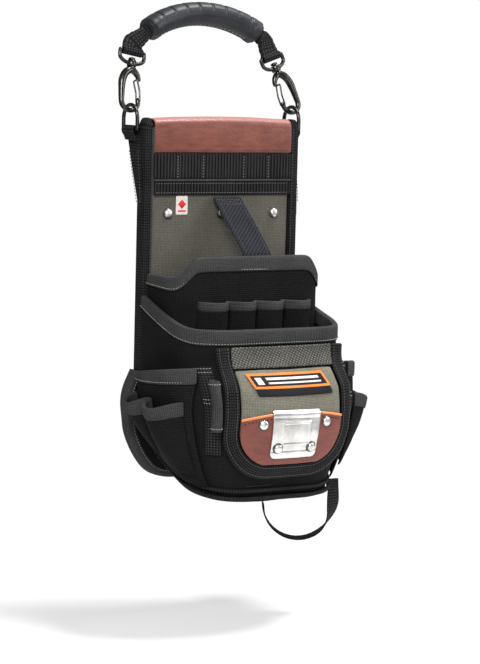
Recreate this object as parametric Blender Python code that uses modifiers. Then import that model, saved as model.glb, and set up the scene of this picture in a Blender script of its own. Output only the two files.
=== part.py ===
"""Electrician tool pouch: a hanging pocket body on a tall back panel, with a carry handle on snap hooks.

Local frame, in metres: X to the wearer's left as seen from the front, -Y out of the front of the
pouch, +Z up.  Z = 0 is the seam at the front of the base and Y = 0 is the back panel's front face.
Everything hangs on the empty pouch_datum, which puts the world origin on the hip pad's rear face.
"""
import math

import bmesh
import bpy
from mathutils import Matrix, Vector

MM = 0.001
GAP = 0.4 * MM  # clearance between neighbouring pieces

# Back panel
PANEL_HEIGHT = 342 * MM
PANEL_TOP = 335 * MM  # top of the stiff panel inside the leather cap
PANEL_HALF = 78.2 * MM
EDGE_HALF = 88 * MM  # outside of the edge bindings
SKIN = 6 * MM
PANEL_BACK = 12 * MM
PAD_BACK = 18 * MM
HIP_HEIGHT = 150 * MM
CAP_LOW, DAISY_LOW, TRIM_LOW = 310 * MM, 283.5 * MM, 269 * MM
RIVET_HEIGHT, RIVET_SPREAD = 251.5 * MM, 60.3 * MM

# Pocket body
BODY_HALF, BODY_DEPTH, BODY_CORNER = 88 * MM, 130 * MM, 45 * MM
BODY_WALL = 3 * MM
TAPER_FROM = 90 * MM  # below this height the body draws in
TAPER_WIDTH, TAPER_DEPTH = 12 * MM, 17 * MM
MOUTH_SET_BACK = 24 * MM  # the front wall leans back from its bulge up to the rim
BODY_BACK = -2.4 * MM
RIM_FRONT, RIM_RISE = 147 * MM, 26 * MM
SEAM_FRONT, SEAM_RISE = -9 * MM, 62 * MM
BELLY = 12 * MM
DIVIDER_HALF, DIVIDER_DEPTH, DIVIDER_CORNER = 82.2 * MM, 60 * MM, 20 * MM
DIVIDER_WALL = 2.4 * MM
BINDING = 1.1 * MM
BINDING_DROP = 12 * MM

# Side pockets
POCKET_Y = (-10 * MM, -98 * MM)
POCKET_BULGE, POCKET_WALL = 16 * MM, 1.8 * MM
TUBE_BULGE, TUBE_WALL, TUBE_RIM, TUBE_DIP = 17 * MM, 1.8 * MM, 81 * MM, 7 * MM

# Front shield
SHIELD_LINE, SHIELD_LOW, SHIELD_CORNER, SHIELD_TOP = 64 * MM, 17 * MM, 42 * MM, 134 * MM
SHIELD_EDGE = 7.4 * MM
SHIELD_Y = ((8, -124), (17, -128), (32, -134), (55, -139.5), (73, -141.5), (85, -141),
            (95, -138), (104, -130), (114, -119.5), (124, -115.5), (140, -114.5))
SHIELD_HALF = ((94, 64), (112, 62.5), (134, 64))  # middle of the binding; narrower at the shoulders
# Fall back of the shield, per metre of half width squared
SHIELD_CROWN = ((8, 1.6), (45, 2.8), (88, 2.8), (114, 1.2), (140, 1.0))

# Handle and hardware
WIRE = 1.9 * MM
RING_X, RING_Y, RING_BAR, RING_TOP = 92 * MM, 20 * MM, 331.5 * MM, 354.5 * MM
RING_HALF = 13.1 * MM
SNAP_BEND = 9 * MM
SNAP_WIRE = 2.3 * MM
SNAP_RIDE = 5.4 * MM  # ring wire centre above snap wire centre
SNAP_LEAN = {"left": 11.0, "right": 19.0}  # degrees inward
EYE_BAR, EYE_HALF = 50 * MM, 13 * MM
SWING_HEIGHT = RING_TOP - SNAP_RIDE  # the handle swings about the foot of both snaps
HANDLE_LEAN = 16.0  # degrees backward at rest
GRIP_RISE, GRIP_RADIUS, GRIP_SPAN = 97.5 * MM, 114.8 * MM, 33.0


def material(name, colour, roughness, metallic=0.0):
    made = bpy.data.materials.new(name)
    made.use_nodes = True
    shader = made.node_tree.nodes["Principled BSDF"]
    shader.inputs["Base Color"].default_value = (*colour, 1)
    shader.inputs["Roughness"].default_value = roughness
    shader.inputs["Metallic"].default_value = metallic
    return made


def start_scene():
    for obj in list(bpy.data.objects):
        bpy.data.objects.remove(obj)
    parts = bpy.data.collections.new("electrician_tool_pouch")
    cutters = bpy.data.collections.new("cutters")
    bpy.context.scene.collection.children.link(parts)
    bpy.context.scene.collection.children.link(cutters)
    datum = bpy.data.objects.new("pouch_datum", None)
    datum.location = (0, -PAD_BACK, -HIP_HEIGHT)
    parts.objects.link(datum)
    return parts, cutters, datum


def pivot(name, place, parent):
    """An empty on a joint's axis, carrying the pieces that move about it."""
    empty = bpy.data.objects.new(name, None)
    PARTS.objects.link(empty)
    empty.parent = parent
    empty.matrix_local = place
    return empty


PARTS, CUTTERS, DATUM = start_scene()
BLACK = material("black_nylon", (0.018, 0.018, 0.020), 0.85)
WEBBING = material("black_webbing", (0.022, 0.022, 0.026), 0.8)
GREY = material("grey_nylon", (0.19, 0.185, 0.16), 0.85)
RIM_GREY = material("grey_binding", (0.10, 0.105, 0.105), 0.8)
LEATHER = material("brown_leather", (0.20, 0.075, 0.055), 0.5)
RUBBER = material("grip_rubber", (0.045, 0.05, 0.06), 0.55)
GUNMETAL = material("gunmetal", (0.06, 0.06, 0.055), 0.3, 1.0)
STEEL = material("bright_steel", (0.75, 0.74, 0.72), 0.25, 1.0)
LABEL = material("woven_label", (0.03, 0.03, 0.035), 0.6)
TAG = material("white_tag", (0.6, 0.57, 0.55), 0.8)


def blend(a, b, t):
    return a + (b - a) * t


def clamp(t):
    return max(0.0, min(1.0, t))


def smooth(t):
    t = clamp(t)
    return t * t * (3 - 2 * t)


def read_table(table, value):
    """Straight-line reading of a ((height, result), ...) table given in millimetres."""
    value /= MM
    for (low, a), (high, b) in zip(table, table[1:]):
        if value <= high:
            return blend(a, b, clamp((value - low) / (high - low))) * MM
    return table[-1][1] * MM


# ---------------------------------------------------------------- makers

def adopt(obj, finish, parent=None):
    """Gives an object its material, its collection and its place under the datum."""
    for other in obj.users_collection:
        other.objects.unlink(obj)
    PARTS.objects.link(obj)
    obj.parent = parent or DATUM
    if not obj.data.materials:
        obj.data.materials.append(finish)
    if obj.type == "MESH":
        obj.data.shade_smooth()
        obj.data.set_sharp_from_angle(angle=math.radians(40))
    return obj


def grid_mesh(name, rows, cyclic=False):
    """A mesh of quads over rows of points, closed round each row when cyclic."""
    count = len(rows[0])
    points = [p for row in rows for p in row]
    last = count if cyclic else count - 1
    faces = [
        (r * count + c, r * count + (c + 1) % count, (r + 1) * count + (c + 1) % count, (r + 1) * count + c)
        for r in range(len(rows) - 1)
        for c in range(last)
    ]
    mesh = bpy.data.meshes.new(name)
    mesh.from_pydata(points, [], faces)
    return mesh


def sheet(name, rows, thickness, finish, towards, cyclic=False, parent=None):
    """An open surface given thickness with Solidify, growing towards the side that the vector points to."""
    mesh = grid_mesh(name, rows, cyclic)
    middle = mesh.polygons[len(mesh.polygons) // 2]
    grows = 1.0 if middle.normal.dot(towards) > 0 else -1.0
    obj = bpy.data.objects.new(name, mesh)
    PARTS.objects.link(obj)
    solid = obj.modifiers.new("thickness", "SOLIDIFY")
    solid.thickness = thickness
    solid.offset = grows
    solid.use_even_offset = False
    return adopt(obj, finish, parent)


def plate(name, outline, low, high, finish, plane="XZ"):
    """A flat outline extruded between two offsets: plane XZ along Y, plane YZ along X."""
    curve = bpy.data.curves.new(name, "CURVE")
    curve.dimensions = "2D"
    curve.fill_mode = "BOTH"
    curve.extrude = (high - low) / 2
    spline = curve.splines.new("POLY")
    spline.points.add(len(outline) - 1)
    for point, (u, v) in zip(spline.points, outline):
        point.co = (u, v, 0, 1)
    spline.use_cyclic_u = True
    obj = bpy.data.objects.new(name, curve)
    PARTS.objects.link(obj)
    middle = (low + high) / 2
    if plane == "XZ":
        obj.matrix_basis = Matrix.Translation((0, middle, 0)) @ Matrix.Rotation(math.pi / 2, 4, "X")
    else:
        turn = Matrix(((0, 0, 1, 0), (1, 0, 0, 0), (0, 1, 0, 0), (0, 0, 0, 1)))
        obj.matrix_basis = Matrix.Translation((middle, 0, 0)) @ turn
    return adopt(obj, finish)


def tube(name, points, radius, finish, cyclic=False, sides=2, parent=None):
    """A round wire or cord along points, with filled ends."""
    curve = bpy.data.curves.new(name, "CURVE")
    curve.dimensions = "3D"
    curve.bevel_depth = radius
    curve.bevel_resolution = sides
    curve.use_fill_caps = not cyclic
    spline = curve.splines.new("POLY")
    spline.points.add(len(points) - 1)
    for point, co in zip(spline.points, points):
        point.co = (*co, 1)
    spline.use_cyclic_u = cyclic
    obj = bpy.data.objects.new(name, curve)
    PARTS.objects.link(obj)
    return adopt(obj, finish, parent)


def as_mesh(obj):
    """The curve object turned into a welded mesh object of the same name and place."""
    graph = bpy.context.evaluated_depsgraph_get()
    mesh = bpy.data.meshes.new_from_object(obj.evaluated_get(graph))
    work = bmesh.new()
    work.from_mesh(mesh)
    bmesh.ops.remove_doubles(work, verts=work.verts, dist=0.00001)
    bmesh.ops.recalc_face_normals(work, faces=work.faces)
    work.to_mesh(mesh)
    work.free()
    name, finish, place, parent = obj.name, obj.data.materials[0], obj.matrix_basis.copy(), obj.parent
    bpy.data.objects.remove(obj)
    made = bpy.data.objects.new(name, mesh)
    PARTS.objects.link(made)
    adopt(made, finish, parent)
    made.matrix_basis = place
    return made


def rod(name, start, end, radius, sides=20, parent=None):
    """A plain cylinder mesh object between two points, in the cutters collection."""
    start, end = Vector(start), Vector(end)
    work = bmesh.new()
    turn = (end - start).to_track_quat("Z", "Y").to_matrix().to_4x4()
    bmesh.ops.create_cone(work, cap_ends=True, segments=sides, radius1=radius, radius2=radius,
                          depth=(end - start).length, matrix=Matrix.Translation((start + end) / 2) @ turn)
    mesh = bpy.data.meshes.new(name)
    work.to_mesh(mesh)
    work.free()
    obj = bpy.data.objects.new(name, mesh)
    CUTTERS.objects.link(obj)
    obj.parent = parent or DATUM
    obj.hide_render = True
    obj.display_type = "WIRE"
    return obj


def boolean(target, other, operation):
    step = target.modifiers.new(operation.lower(), "BOOLEAN")
    step.operation = operation
    step.object = other
    return target


def dome(name, centre, normal, radius, height, finish):
    """A rivet head: a turned cap whose flat side faces away from the normal."""
    steps = 5
    profile = [(0.0, height)]
    profile += [(radius * math.sin(math.radians(90 * i / steps)),
                 height * math.cos(math.radians(90 * i / steps)))
                for i in range(1, steps + 1)]
    profile += [(radius, -0.5 * MM), (0.0, -0.5 * MM)]
    mesh = bpy.data.meshes.new(name)
    mesh.from_pydata([(r, 0, h) for r, h in profile], [(i, i + 1) for i in range(len(profile) - 1)], [])
    obj = bpy.data.objects.new(name, mesh)
    PARTS.objects.link(obj)
    screw = obj.modifiers.new("turn", "SCREW")
    screw.steps = screw.render_steps = 16
    screw.use_merge_vertices = True
    screw.merge_threshold = 0.00001
    screw.use_smooth_shade = True
    adopt(obj, finish)
    turn = Vector(normal).to_track_quat("Z", "Y").to_matrix().to_4x4()
    obj.matrix_basis = Matrix.Translation(Vector(centre)) @ turn
    return obj


def mirrored(points):
    return points + [(-x, z) for x, z in reversed(points)]


# ---------------------------------------------------------------- back panel

def panel_outline(half, top):
    """Straight upper part, a flare beside the pocket body and a round-cornered foot."""
    u = half / MM
    side = [(u, top / MM), (u, 106), (u + 5, 92), (u + 12, 80), (93, 70), (91.5, 56), (89, 42), (81, 25),
            (70, 11),
            (56, 5)]
    return mirrored([(x * MM, z * MM) for x, z in side])


def back_panel():
    plate("back_panel", panel_outline(PANEL_HALF, PANEL_TOP), 0, SKIN - GAP / 2, GREY)
    plate("rear_panel", panel_outline(PANEL_HALF, PANEL_TOP), SKIN + GAP / 2, PANEL_BACK, BLACK)
    pad = [(-68, 58), (68, 58), (72, 62), (72, 218), (68, 222), (-68, 222), (-72, 218), (-72, 62)]
    plate("hip_pad", [(u * MM, v * MM) for u, v in pad], PANEL_BACK + GAP, PAD_BACK, BLACK)
    for side, sign in (("left", -1), ("right", 1)):
        inner, outer, top = PANEL_HALF + GAP, EDGE_HALF, PANEL_HEIGHT
        corner = [(outer - 7 * MM * (1 - math.cos(a)), top - 7 * MM * (1 - math.sin(a)))
                  for a in (0, math.pi / 6, math.pi / 3, math.pi / 2)]
        strip = [(inner, 112 * MM), (outer, 112 * MM), *corner, (inner, top)]
        outline = [(sign * u, v) for u, v in strip]
        plate(f"edge_binding_{side}", outline, -1.5 * MM, PANEL_BACK + 1.5 * MM, BLACK)


def lower_binding():
    """Grey cord-edge binding round the foot of the back panel."""
    half = [(88, 97), (95.4, 84), (97.7, 71), (96.1, 56), (93.4, 40.6), (84.7, 22.2), (72.4, 7), (56.4, 0.6)]
    path = [(u * MM, 6 * MM, v * MM) for u, v in half]
    path += [(-u, y, v) for u, y, v in reversed(path)]
    tube("lower_binding", path, 3.6 * MM, RIM_GREY, sides=2)


def top_cap():
    """Leather band folded over the panel's top edge."""
    front, back, round_steps = -1.4 * MM, PANEL_BACK + 1.4 * MM, 6
    inner_top = PANEL_TOP + GAP
    half_gap = (back - front) / 2
    middle = (back + front) / 2
    rows = [(front, CAP_LOW), (front, inner_top)]
    for i in range(1, round_steps):
        a = math.pi * i / round_steps
        rows.append((middle - half_gap * math.cos(a), inner_top + 4.8 * MM * math.sin(a)))
    rows += [(back, inner_top), (back, CAP_LOW)]
    columns = [(-PANEL_HALF + 0.2 * MM) * (1 - 2 * i / 8) for i in range(9)]
    sheet("top_cap", [[(x, y, z) for x in columns] for y, z in rows], 1.4 * MM, LEATHER, Vector((0, 0, 1)))


def panel_trim():
    half = PANEL_HALF - 0.2 * MM

    def band(name, low, high, near, far, finish):
        plate(name, [(-half, low), (half, low), (half, high), (-half, high)], near, far, finish)

    band("daisy_webbing", DAISY_LOW + GAP, CAP_LOW - GAP, -2.4 * MM, -GAP, WEBBING)
    band("trim_webbing", TRIM_LOW, DAISY_LOW, -2.8 * MM, -GAP, WEBBING)
    tag = [(-52, 250), (-38.5, 250), (-38.5, 268.5), (-52, 268.5)]
    plate("side_tag", [(u * MM, v * MM) for u, v in tag], -1.3 * MM, -GAP, TAG)
    for side, x in (("left", -RIVET_SPREAD), ("middle", 0), ("right", RIVET_SPREAD)):
        dome(f"panel_rivet_{side}", (x, -0.9 * MM, RIVET_HEIGHT), (0, -1, 0), 4.6 * MM, 2.8 * MM, STEEL)


def belt_loop():
    """Wide webbing loop sewn to the rear of the panel: a belt passes through it along X."""
    near, far = PANEL_BACK + GAP, PANEL_BACK + 9 * MM
    profile = [(near, 236), (near, 250), (near + 2.5 * MM, 253), (far - 1.5 * MM, 257), (far, 262), (far, 296),
               (far - 1.5 * MM, 301), (near + 2.5 * MM, 304.5), (near, 305.5)]
    rows = [[(x * MM, y, z * MM) for x in (-66, -22, 22, 66)] for y, z in profile]
    sheet("belt_loop", rows, 2.2 * MM, WEBBING, Vector((0, 1, 0)))


def centre_strap():
    """Webbing that ties the back panel to the divider and splits the rear compartment in two."""
    path = [(3, -3.4, 267), (3.5, -6.5, 263.5), (5.5, -30, 240.5), (7.6, -51, 218), (8, -53.9, 211),
            (8, -54.1, 198)]
    half = 16
    rows = [[((x + s * half) * MM, y * MM, z * MM) for s in (-1, -0.33, 0.33, 1)] for x, y, z in path]
    sheet("centre_strap", rows, 1.5 * MM, WEBBING, Vector((0, 0, 1)))


# ---------------------------------------------------------------- pocket body

def taper(z):
    return clamp(1 - z / TAPER_FROM) ** 1.8


def body_half(z):
    return BODY_HALF - TAPER_WIDTH * taper(z)


def body_depth(z):
    return BODY_DEPTH - TAPER_DEPTH * taper(z) - MOUTH_SET_BACK * smooth((z - 70 * MM) / (60 * MM))


def body_side(y, z):
    """Half width of the body's outside at a height and depth, rounding in at the front corner."""
    past = max(-(body_depth(z) - BODY_CORNER) - y, 0.0)
    return body_half(z) - BODY_CORNER + math.sqrt(max(BODY_CORNER ** 2 - past ** 2, 0.0))


def seam_height(y):
    """Height of the base seam: low at the front and sweeping up to the back panel."""
    return SEAM_FRONT + SEAM_RISE * clamp(1 + y / (130 * MM)) ** 2.5


def rim_height(y):
    return RIM_FRONT + RIM_RISE * clamp(1 + y / (88 * MM)) ** 1.3


def u_plan(half, depth, corner, back, side_steps=6, corner_steps=6, front_steps=6):
    """Plan outline from the left back corner round the front to the right back corner."""
    side_end = -(depth - corner)
    left = [(-half, blend(back, side_end, i / side_steps)) for i in range(side_steps + 1)]
    left += [(-(half - corner) - corner * math.cos(a), side_end - corner * math.sin(a))
             for a in (math.pi / 2 * i / corner_steps for i in range(1, corner_steps + 1))]
    flat = [(blend(corner - half, half - corner, i / front_steps), -depth) for i in range(1, front_steps)]
    return left + flat + [(-x, y) for x, y in reversed(left)]


def u_wall(half_at, depth_at, corner, back, top_at, bottom_at, levels=10):
    """Rows of points, bottom to top, of a wall that follows the U plan while its size changes with height."""
    nominal = u_plan(half_at(1.0), depth_at(1.0), corner, back)
    rows = []
    for level in range(levels + 1):
        row = []
        for index, (x, y) in enumerate(nominal):
            z = blend(bottom_at(x, y), top_at(x, y), level / levels)
            px, py = u_plan(half_at(z), depth_at(z), corner, back)[index]
            row.append((px, py, z))
        rows.append(row)
    return rows


def rim_band(name, top_row, span, finish, drop=BINDING_DROP, side=1):
    """Folded binding over a rim: an upside-down U that clears the wall on both faces."""
    rows = []
    count = len(top_row)
    inner, outer = span
    for offset, lift in ((inner, -drop), (inner, 2.5 * GAP), (outer, 2.5 * GAP), (outer, -drop)):
        row = []
        for i, (x, y, z) in enumerate(top_row):
            along = Vector(top_row[min(i + 1, count - 1)]) - Vector(top_row[max(i - 1, 0)])
            out = Vector((along.y, -along.x, 0)).normalized() * side
            row.append((x + out.x * offset, y + out.y * offset, z + lift))
        rows.append(row)
    band = sheet(name, rows, BINDING, finish, Vector((0, 0, 1)))
    top = band.data.polygons[(count - 1) + (count - 1) // 2]
    band.modifiers["thickness"].offset = 1.0 if top.normal.z > 0 else -1.0
    return band


def body_shell():
    rows = u_wall(body_half, body_depth, BODY_CORNER, BODY_BACK, lambda x, y: rim_height(y),
                  lambda x, y: seam_height(y) + 0.9 * MM)
    outward = Vector((0, -1, 0))
    sheet("body_wall", rows, BODY_WALL, BLACK, -outward)
    rim_band("body_rim", rows[-1], (-BODY_WALL - 2 * GAP, GAP), RIM_GREY)
    lower = rows[0]
    half_count = 6 + 6 + 1
    left = [Vector(point) for point in lower[:half_count]]
    left[0] = left[0].lerp(left[1], 0.3)
    base = []
    for x, y, z in left:
        sag = BELLY * max(math.sin(math.pi * clamp(y / left[-1].y)), 0.0)
        base.append([(blend(x, -x, i / 8), y, z - 0.9 * MM - sag * (1 - (i / 4 - 1) ** 2)) for i in range(9)])
    sheet("base_panel", base, 5 * MM, BLACK, Vector((0, 0, -1)))
    piping = []
    for i, (x, y, z) in enumerate(lower):
        along = Vector(lower[min(i + 1, len(lower) - 1)]) - Vector(lower[max(i - 1, 0)])
        out = Vector((along.y, -along.x, 0)).normalized() * 3.2 * MM
        piping.append((x + out.x, y + out.y, z - 1.9 * MM))
    tube("base_piping", piping, 2 * MM, BLACK)


def divider_top(x, y):
    return 192 * MM + 20 * MM * smooth((DIVIDER_HALF - abs(x)) / (22 * MM))


def divider():
    """Inner U wall between the rear compartment and the main pocket, set inside the body wall."""
    def half_at(z):
        return DIVIDER_HALF - TAPER_WIDTH * taper(z)

    rows = u_wall(half_at, lambda z: DIVIDER_DEPTH, DIVIDER_CORNER, BODY_BACK, divider_top,
                  lambda x, y: seam_height(y) + 6 * MM)
    sheet("divider", rows, DIVIDER_WALL, BLACK, Vector((0, 1, 0)))
    rim_band("divider_rim", rows[-1], (-DIVIDER_WALL - 2 * GAP, 1.5 * GAP), RIM_GREY)


def inner_sleeves():
    """Scalloped strip on the divider's front: four sleeves for drivers."""
    near = -(DIVIDER_DEPTH + 1.8 * MM)
    sleeves, steps = 4, 6
    half = 62 * MM
    rows = []
    for level in range(4):
        z = blend(62 * MM, 168 * MM, level / 3)
        row = []
        for i in range(sleeves * steps + 1):
            u = i / (sleeves * steps)
            bulge = abs(math.sin(math.pi * sleeves * u)) ** 0.7 * blend(7, 17, level / 3) * MM
            row.append((blend(-half, half, u), near - bulge, z))
        rows.append(row)
    sheet("inner_sleeves", rows, 1.4 * MM, BLACK, Vector((0, -1, 0)))


# ---------------------------------------------------------------- side pockets

def pocket_swell(t):
    return 0.14 + 0.86 * math.sin(clamp(t) * math.pi / 2)


def pocket_reach(y, z):
    """Distance from the middle plane to the inside of a side pocket's wall."""
    u = clamp((y - POCKET_Y[0]) / (POCKET_Y[1] - POCKET_Y[0]))
    top = pocket_top(y)
    bottom = seam_height(y) + 9 * MM
    swell = pocket_swell((z - bottom) / (top - bottom))
    return body_side(y, min(z, 96 * MM)) + 2.4 * MM + POCKET_BULGE * math.sin(math.pi * u) ** 0.5 * swell


def pocket_top(y):
    return 100 * MM - 0.14 * (y - POCKET_Y[0])


def side_pockets(side, sign):
    def rows_of(reach, y_range, bottom_at, top_at, columns, levels):
        made = []
        for level in range(levels + 1):
            row = []
            for i in range(columns + 1):
                y = blend(y_range[0], y_range[1], i / columns)
                z = blend(bottom_at(y), top_at(y), level / levels)
                row.append((sign * reach(y, z), y, z))
            made.append(row)
        return made

    out = Vector((sign, 0, 0))
    rows = rows_of(pocket_reach, POCKET_Y, lambda y: seam_height(y) + 9 * MM, pocket_top, 12, 5)
    sheet(f"side_pocket_{side}", rows, POCKET_WALL, BLACK, out)

    span = (-1.5 * GAP, POCKET_WALL + 1.5 * GAP)
    rim_band(f"side_pocket_rim_{side}", rows[-1], span, RIM_GREY, 10 * MM, -sign)

    for name, y_range in (("rear", (-13.5 * MM, -53 * MM)), ("front", (-57.5 * MM, -95 * MM))):
        def tube_reach(y, z, y_range=y_range):
            u = clamp((y - y_range[0]) / (y_range[1] - y_range[0]))
            bottom = seam_height(y) + 20 * MM
            swell = pocket_swell((z - bottom) / (TUBE_RIM - bottom))
            bulge = TUBE_BULGE * math.sin(math.pi * u) ** 0.5 * swell
            return pocket_reach(y, z) + POCKET_WALL + 1.2 * MM + bulge

        def tube_top(y, y_range=y_range):
            u = clamp((y - y_range[0]) / (y_range[1] - y_range[0]))
            return TUBE_RIM - TUBE_DIP * math.sin(math.pi * u)

        rows = rows_of(tube_reach, y_range, lambda y: seam_height(y) + 20 * MM, tube_top, 10, 5)
        sheet(f"tube_pocket_{side}_{name}", rows, TUBE_WALL, BLACK, out)


def corner_pockets():
    """Flat pocket of webbing wrapped round each front corner of the body."""
    for side, sign in (("left", -1), ("right", 1)):
        rows = []
        for level in range(5):
            t = level / 4
            z = blend(34 * MM, 116 * MM, t)
            half, depth = body_half(z), body_depth(z)
            row = []
            for i in range(9):
                a = math.radians(blend(35, 54, i / 8))
                radius = BODY_CORNER + 0.9 * MM + 3.5 * MM * math.sin(math.pi * i / 8) * pocket_swell(t)
                x = half - BODY_CORNER + radius * math.cos(a)
                row.append((sign * x, BODY_CORNER - depth - radius * math.sin(a), z))
            rows.append(row)
        sheet(f"corner_pocket_{side}", rows, 1.5 * MM, WEBBING, Vector((sign * 0.7, -0.7, 0)))


# ---------------------------------------------------------------- front shield

def shield_front(x, z):
    return read_table(SHIELD_Y, z) + read_table(SHIELD_CROWN, z) / MM * x * x


def shield_half(z, line, low, corner):
    """Half width of the shield's round-bottomed outline at a height."""
    if z >= low + corner:
        return line
    drop = corner - (z - low)
    return line - corner + math.sqrt(max(corner * corner - drop * drop, 0))


def inner_half(z):
    line = read_table(SHIELD_HALF, z) - SHIELD_EDGE
    return shield_half(z, line, SHIELD_LOW + SHIELD_EDGE, SHIELD_CORNER - SHIELD_EDGE)


def shield_rows(low, high_at, lift, inset, columns=14, levels=12):
    """Rows over the shield's face between its round foot and an upper edge, lifted off the face."""
    rows = []
    for level in range(levels + 1):
        t = (level / levels) ** 1.35
        row = []
        for i in range(columns + 1):
            s = 2 * i / columns - 1
            z = blend(low, high_at(s * 0.9 * (SHIELD_LINE - SHIELD_EDGE)), t)
            x = s * (inner_half(z) - inset)
            row.append((x, shield_front(x, z) - lift, z))
        rows.append(row)
    return rows


def patch_top(x):
    return (66 + 8.5 * math.cos(math.pi * x / (120 * MM))) * MM


def shield():
    ahead = Vector((0, -1, 0))
    low = SHIELD_LOW + SHIELD_EDGE + 1.3 * MM
    sheet("shield_panel", shield_rows(low, lambda x: 113.5 * MM, 0, 1.7 * MM), 4 * MM, GREY, -ahead)
    hide = shield_rows(low + 0.6 * MM, patch_top, GAP, 1.2 * MM, levels=9)
    sheet("leather_patch", hide, 1.6 * MM, LEATHER, ahead)

    line = [(read_table(SHIELD_HALF, z * MM), z * MM) for z in (134, 124, 114, 109, 104, 99, 94, 85, 75)]
    turn = SHIELD_LOW + SHIELD_CORNER
    line += [(SHIELD_LINE - SHIELD_CORNER * (1 - math.cos(a)), turn - SHIELD_CORNER * math.sin(a))
             for a in (math.pi / 2 * i / 8 for i in range(9))]
    line += [(-x, z) for x, z in reversed(line)]
    rows = []
    for i, (x, z) in enumerate(line):
        bx, bz = line[max(i - 1, 0)]
        ax, az = line[min(i + 1, len(line) - 1)]
        side = Vector((bz - az, 0, ax - bx)).normalized()
        row = []
        for s in (-1, -0.5, 0, 0.5, 1):
            px, pz = x + side.x * s * SHIELD_EDGE, z + side.z * s * SHIELD_EDGE
            lift = 1.6 * MM * math.sqrt(1 - 0.9 * s * s)
            row.append((px, shield_front(px, pz) - lift, pz))
        rows.append(row)
    binding = sheet("shield_binding", rows, 4.6 * MM, BLACK, -ahead)
    binding.modifiers["thickness"].use_even_offset = False

    flat = [[(x * MM, shield_front(x * MM, z * MM), z * MM) for x in range(-54, 55, 12)]
            for z in (114.6, 119, 124, 134)]
    sheet("front_webbing", flat, 1.4 * MM, GREY, ahead)

    slant = 7 * MM
    label = []
    for level in range(7):
        z = blend(90 * MM, 110 * MM, level / 6)
        shift = -slant * level / 6
        label.append([(x, shield_front(x, z) - 1 * MM, z) for x in
                      (blend(-39 * MM, 45 * MM, i / 8) + shift for i in range(9))])
    sheet("front_label", label, 1.2 * MM, LABEL, ahead)


def clip_plate():
    """Steel plate over the leather's top edge: a tape measure's clip hooks on it."""
    ahead = Vector((0, -1, 0))
    rows = []
    for level in range(6):
        z = blend(31.5 * MM, 76.5 * MM, level / 5)
        half = blend(25, 26, level / 5) * MM
        if level == 0:
            half -= 2.5 * MM
        rows.append([(s * half, shield_front(s * half, z) - 2.6 * MM, z)
                     for s in (-1, -0.5, 0, 0.5, 1)])
    sheet("clip_plate", rows, 1.2 * MM, STEEL, ahead)
    for side, sign in (("left", -1), ("right", 1)):
        for name, x, z, lift, radius in (("plate", 18, 42, 4.9, 4.6), ("patch", 34.5, 64.5, 3.2, 4.8)):
            x, z = sign * x * MM, z * MM
            slope = (shield_front(x, z + 2 * MM) - shield_front(x, z - 2 * MM)) / (4 * MM)
            lean = (shield_front(x + 2 * MM, z) - shield_front(x - 2 * MM, z)) / (4 * MM)
            normal = Vector((lean, -1, slope)).normalized()
            centre = Vector((x, shield_front(x, z), z)) + normal * lift * MM
            dome(f"{name}_rivet_{side}", centre, normal, radius * MM, 2.6 * MM, STEEL)


def pen_sleeve():
    """Narrow bound sleeve beside the shield, open at both ends."""
    rows = []
    for z in (58 * MM, 74 * MM, 84 * MM, 94 * MM, 105 * MM):
        middle = 1.8 * MM - (body_depth(z) + 127 * MM) / 2
        rows.append([(-77.4 * MM + 5.2 * MM * math.cos(a), middle + 5.2 * MM * math.sin(a), z)
                     for a in (2 * math.pi * i / 12 for i in range(12))])
    obj = sheet("pen_sleeve", rows, 1 * MM, RIM_GREY, Vector((0, 0, 1)), cyclic=True)
    obj.modifiers["thickness"].offset = -1.0


# ---------------------------------------------------------------- tape strap

def tape_strap():
    """Webbing loop under the right side for rolls of tape, back to a ring below the base."""
    start, end = Vector((84.5, -84)) * MM, Vector((24, -50)) * MM
    across = (end - start).normalized()
    wide = Vector((-across.y, across.x)) * 10 * MM
    span = (end - start).length
    low, bend = -62 * MM, span / 2
    path = [(0.0, -2 * MM), (0.0, -16 * MM), (0.0, low + bend)]
    for i in range(1, 10):
        a = math.pi * i / 10
        path.append((bend * (1 - math.cos(a)), low + bend * (1 - math.sin(a))))
    path += [(span, low + bend), (span, -26.5 * MM)]
    rows = []
    for along, z in path:
        middle = start + across * along
        rows.append([(middle.x + wide.x * s, middle.y + wide.y * s, z) for s in (-1, 0, 1)])
    sheet("tape_strap", rows, 1.5 * MM, WEBBING, Vector((across.x, across.y, 0)))
    ring = []
    for i in range(16):
        a = 2 * math.pi * i / 16
        out = wide * 1.35 * math.cos(a)
        ring.append((end.x + out.x, end.y + out.y, -17.5 * MM + 7 * MM * math.sin(a)))
    tube("strap_ring", ring, 1.3 * MM, STEEL, cyclic=True)


# ---------------------------------------------------------------- rings, snaps and handle

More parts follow.
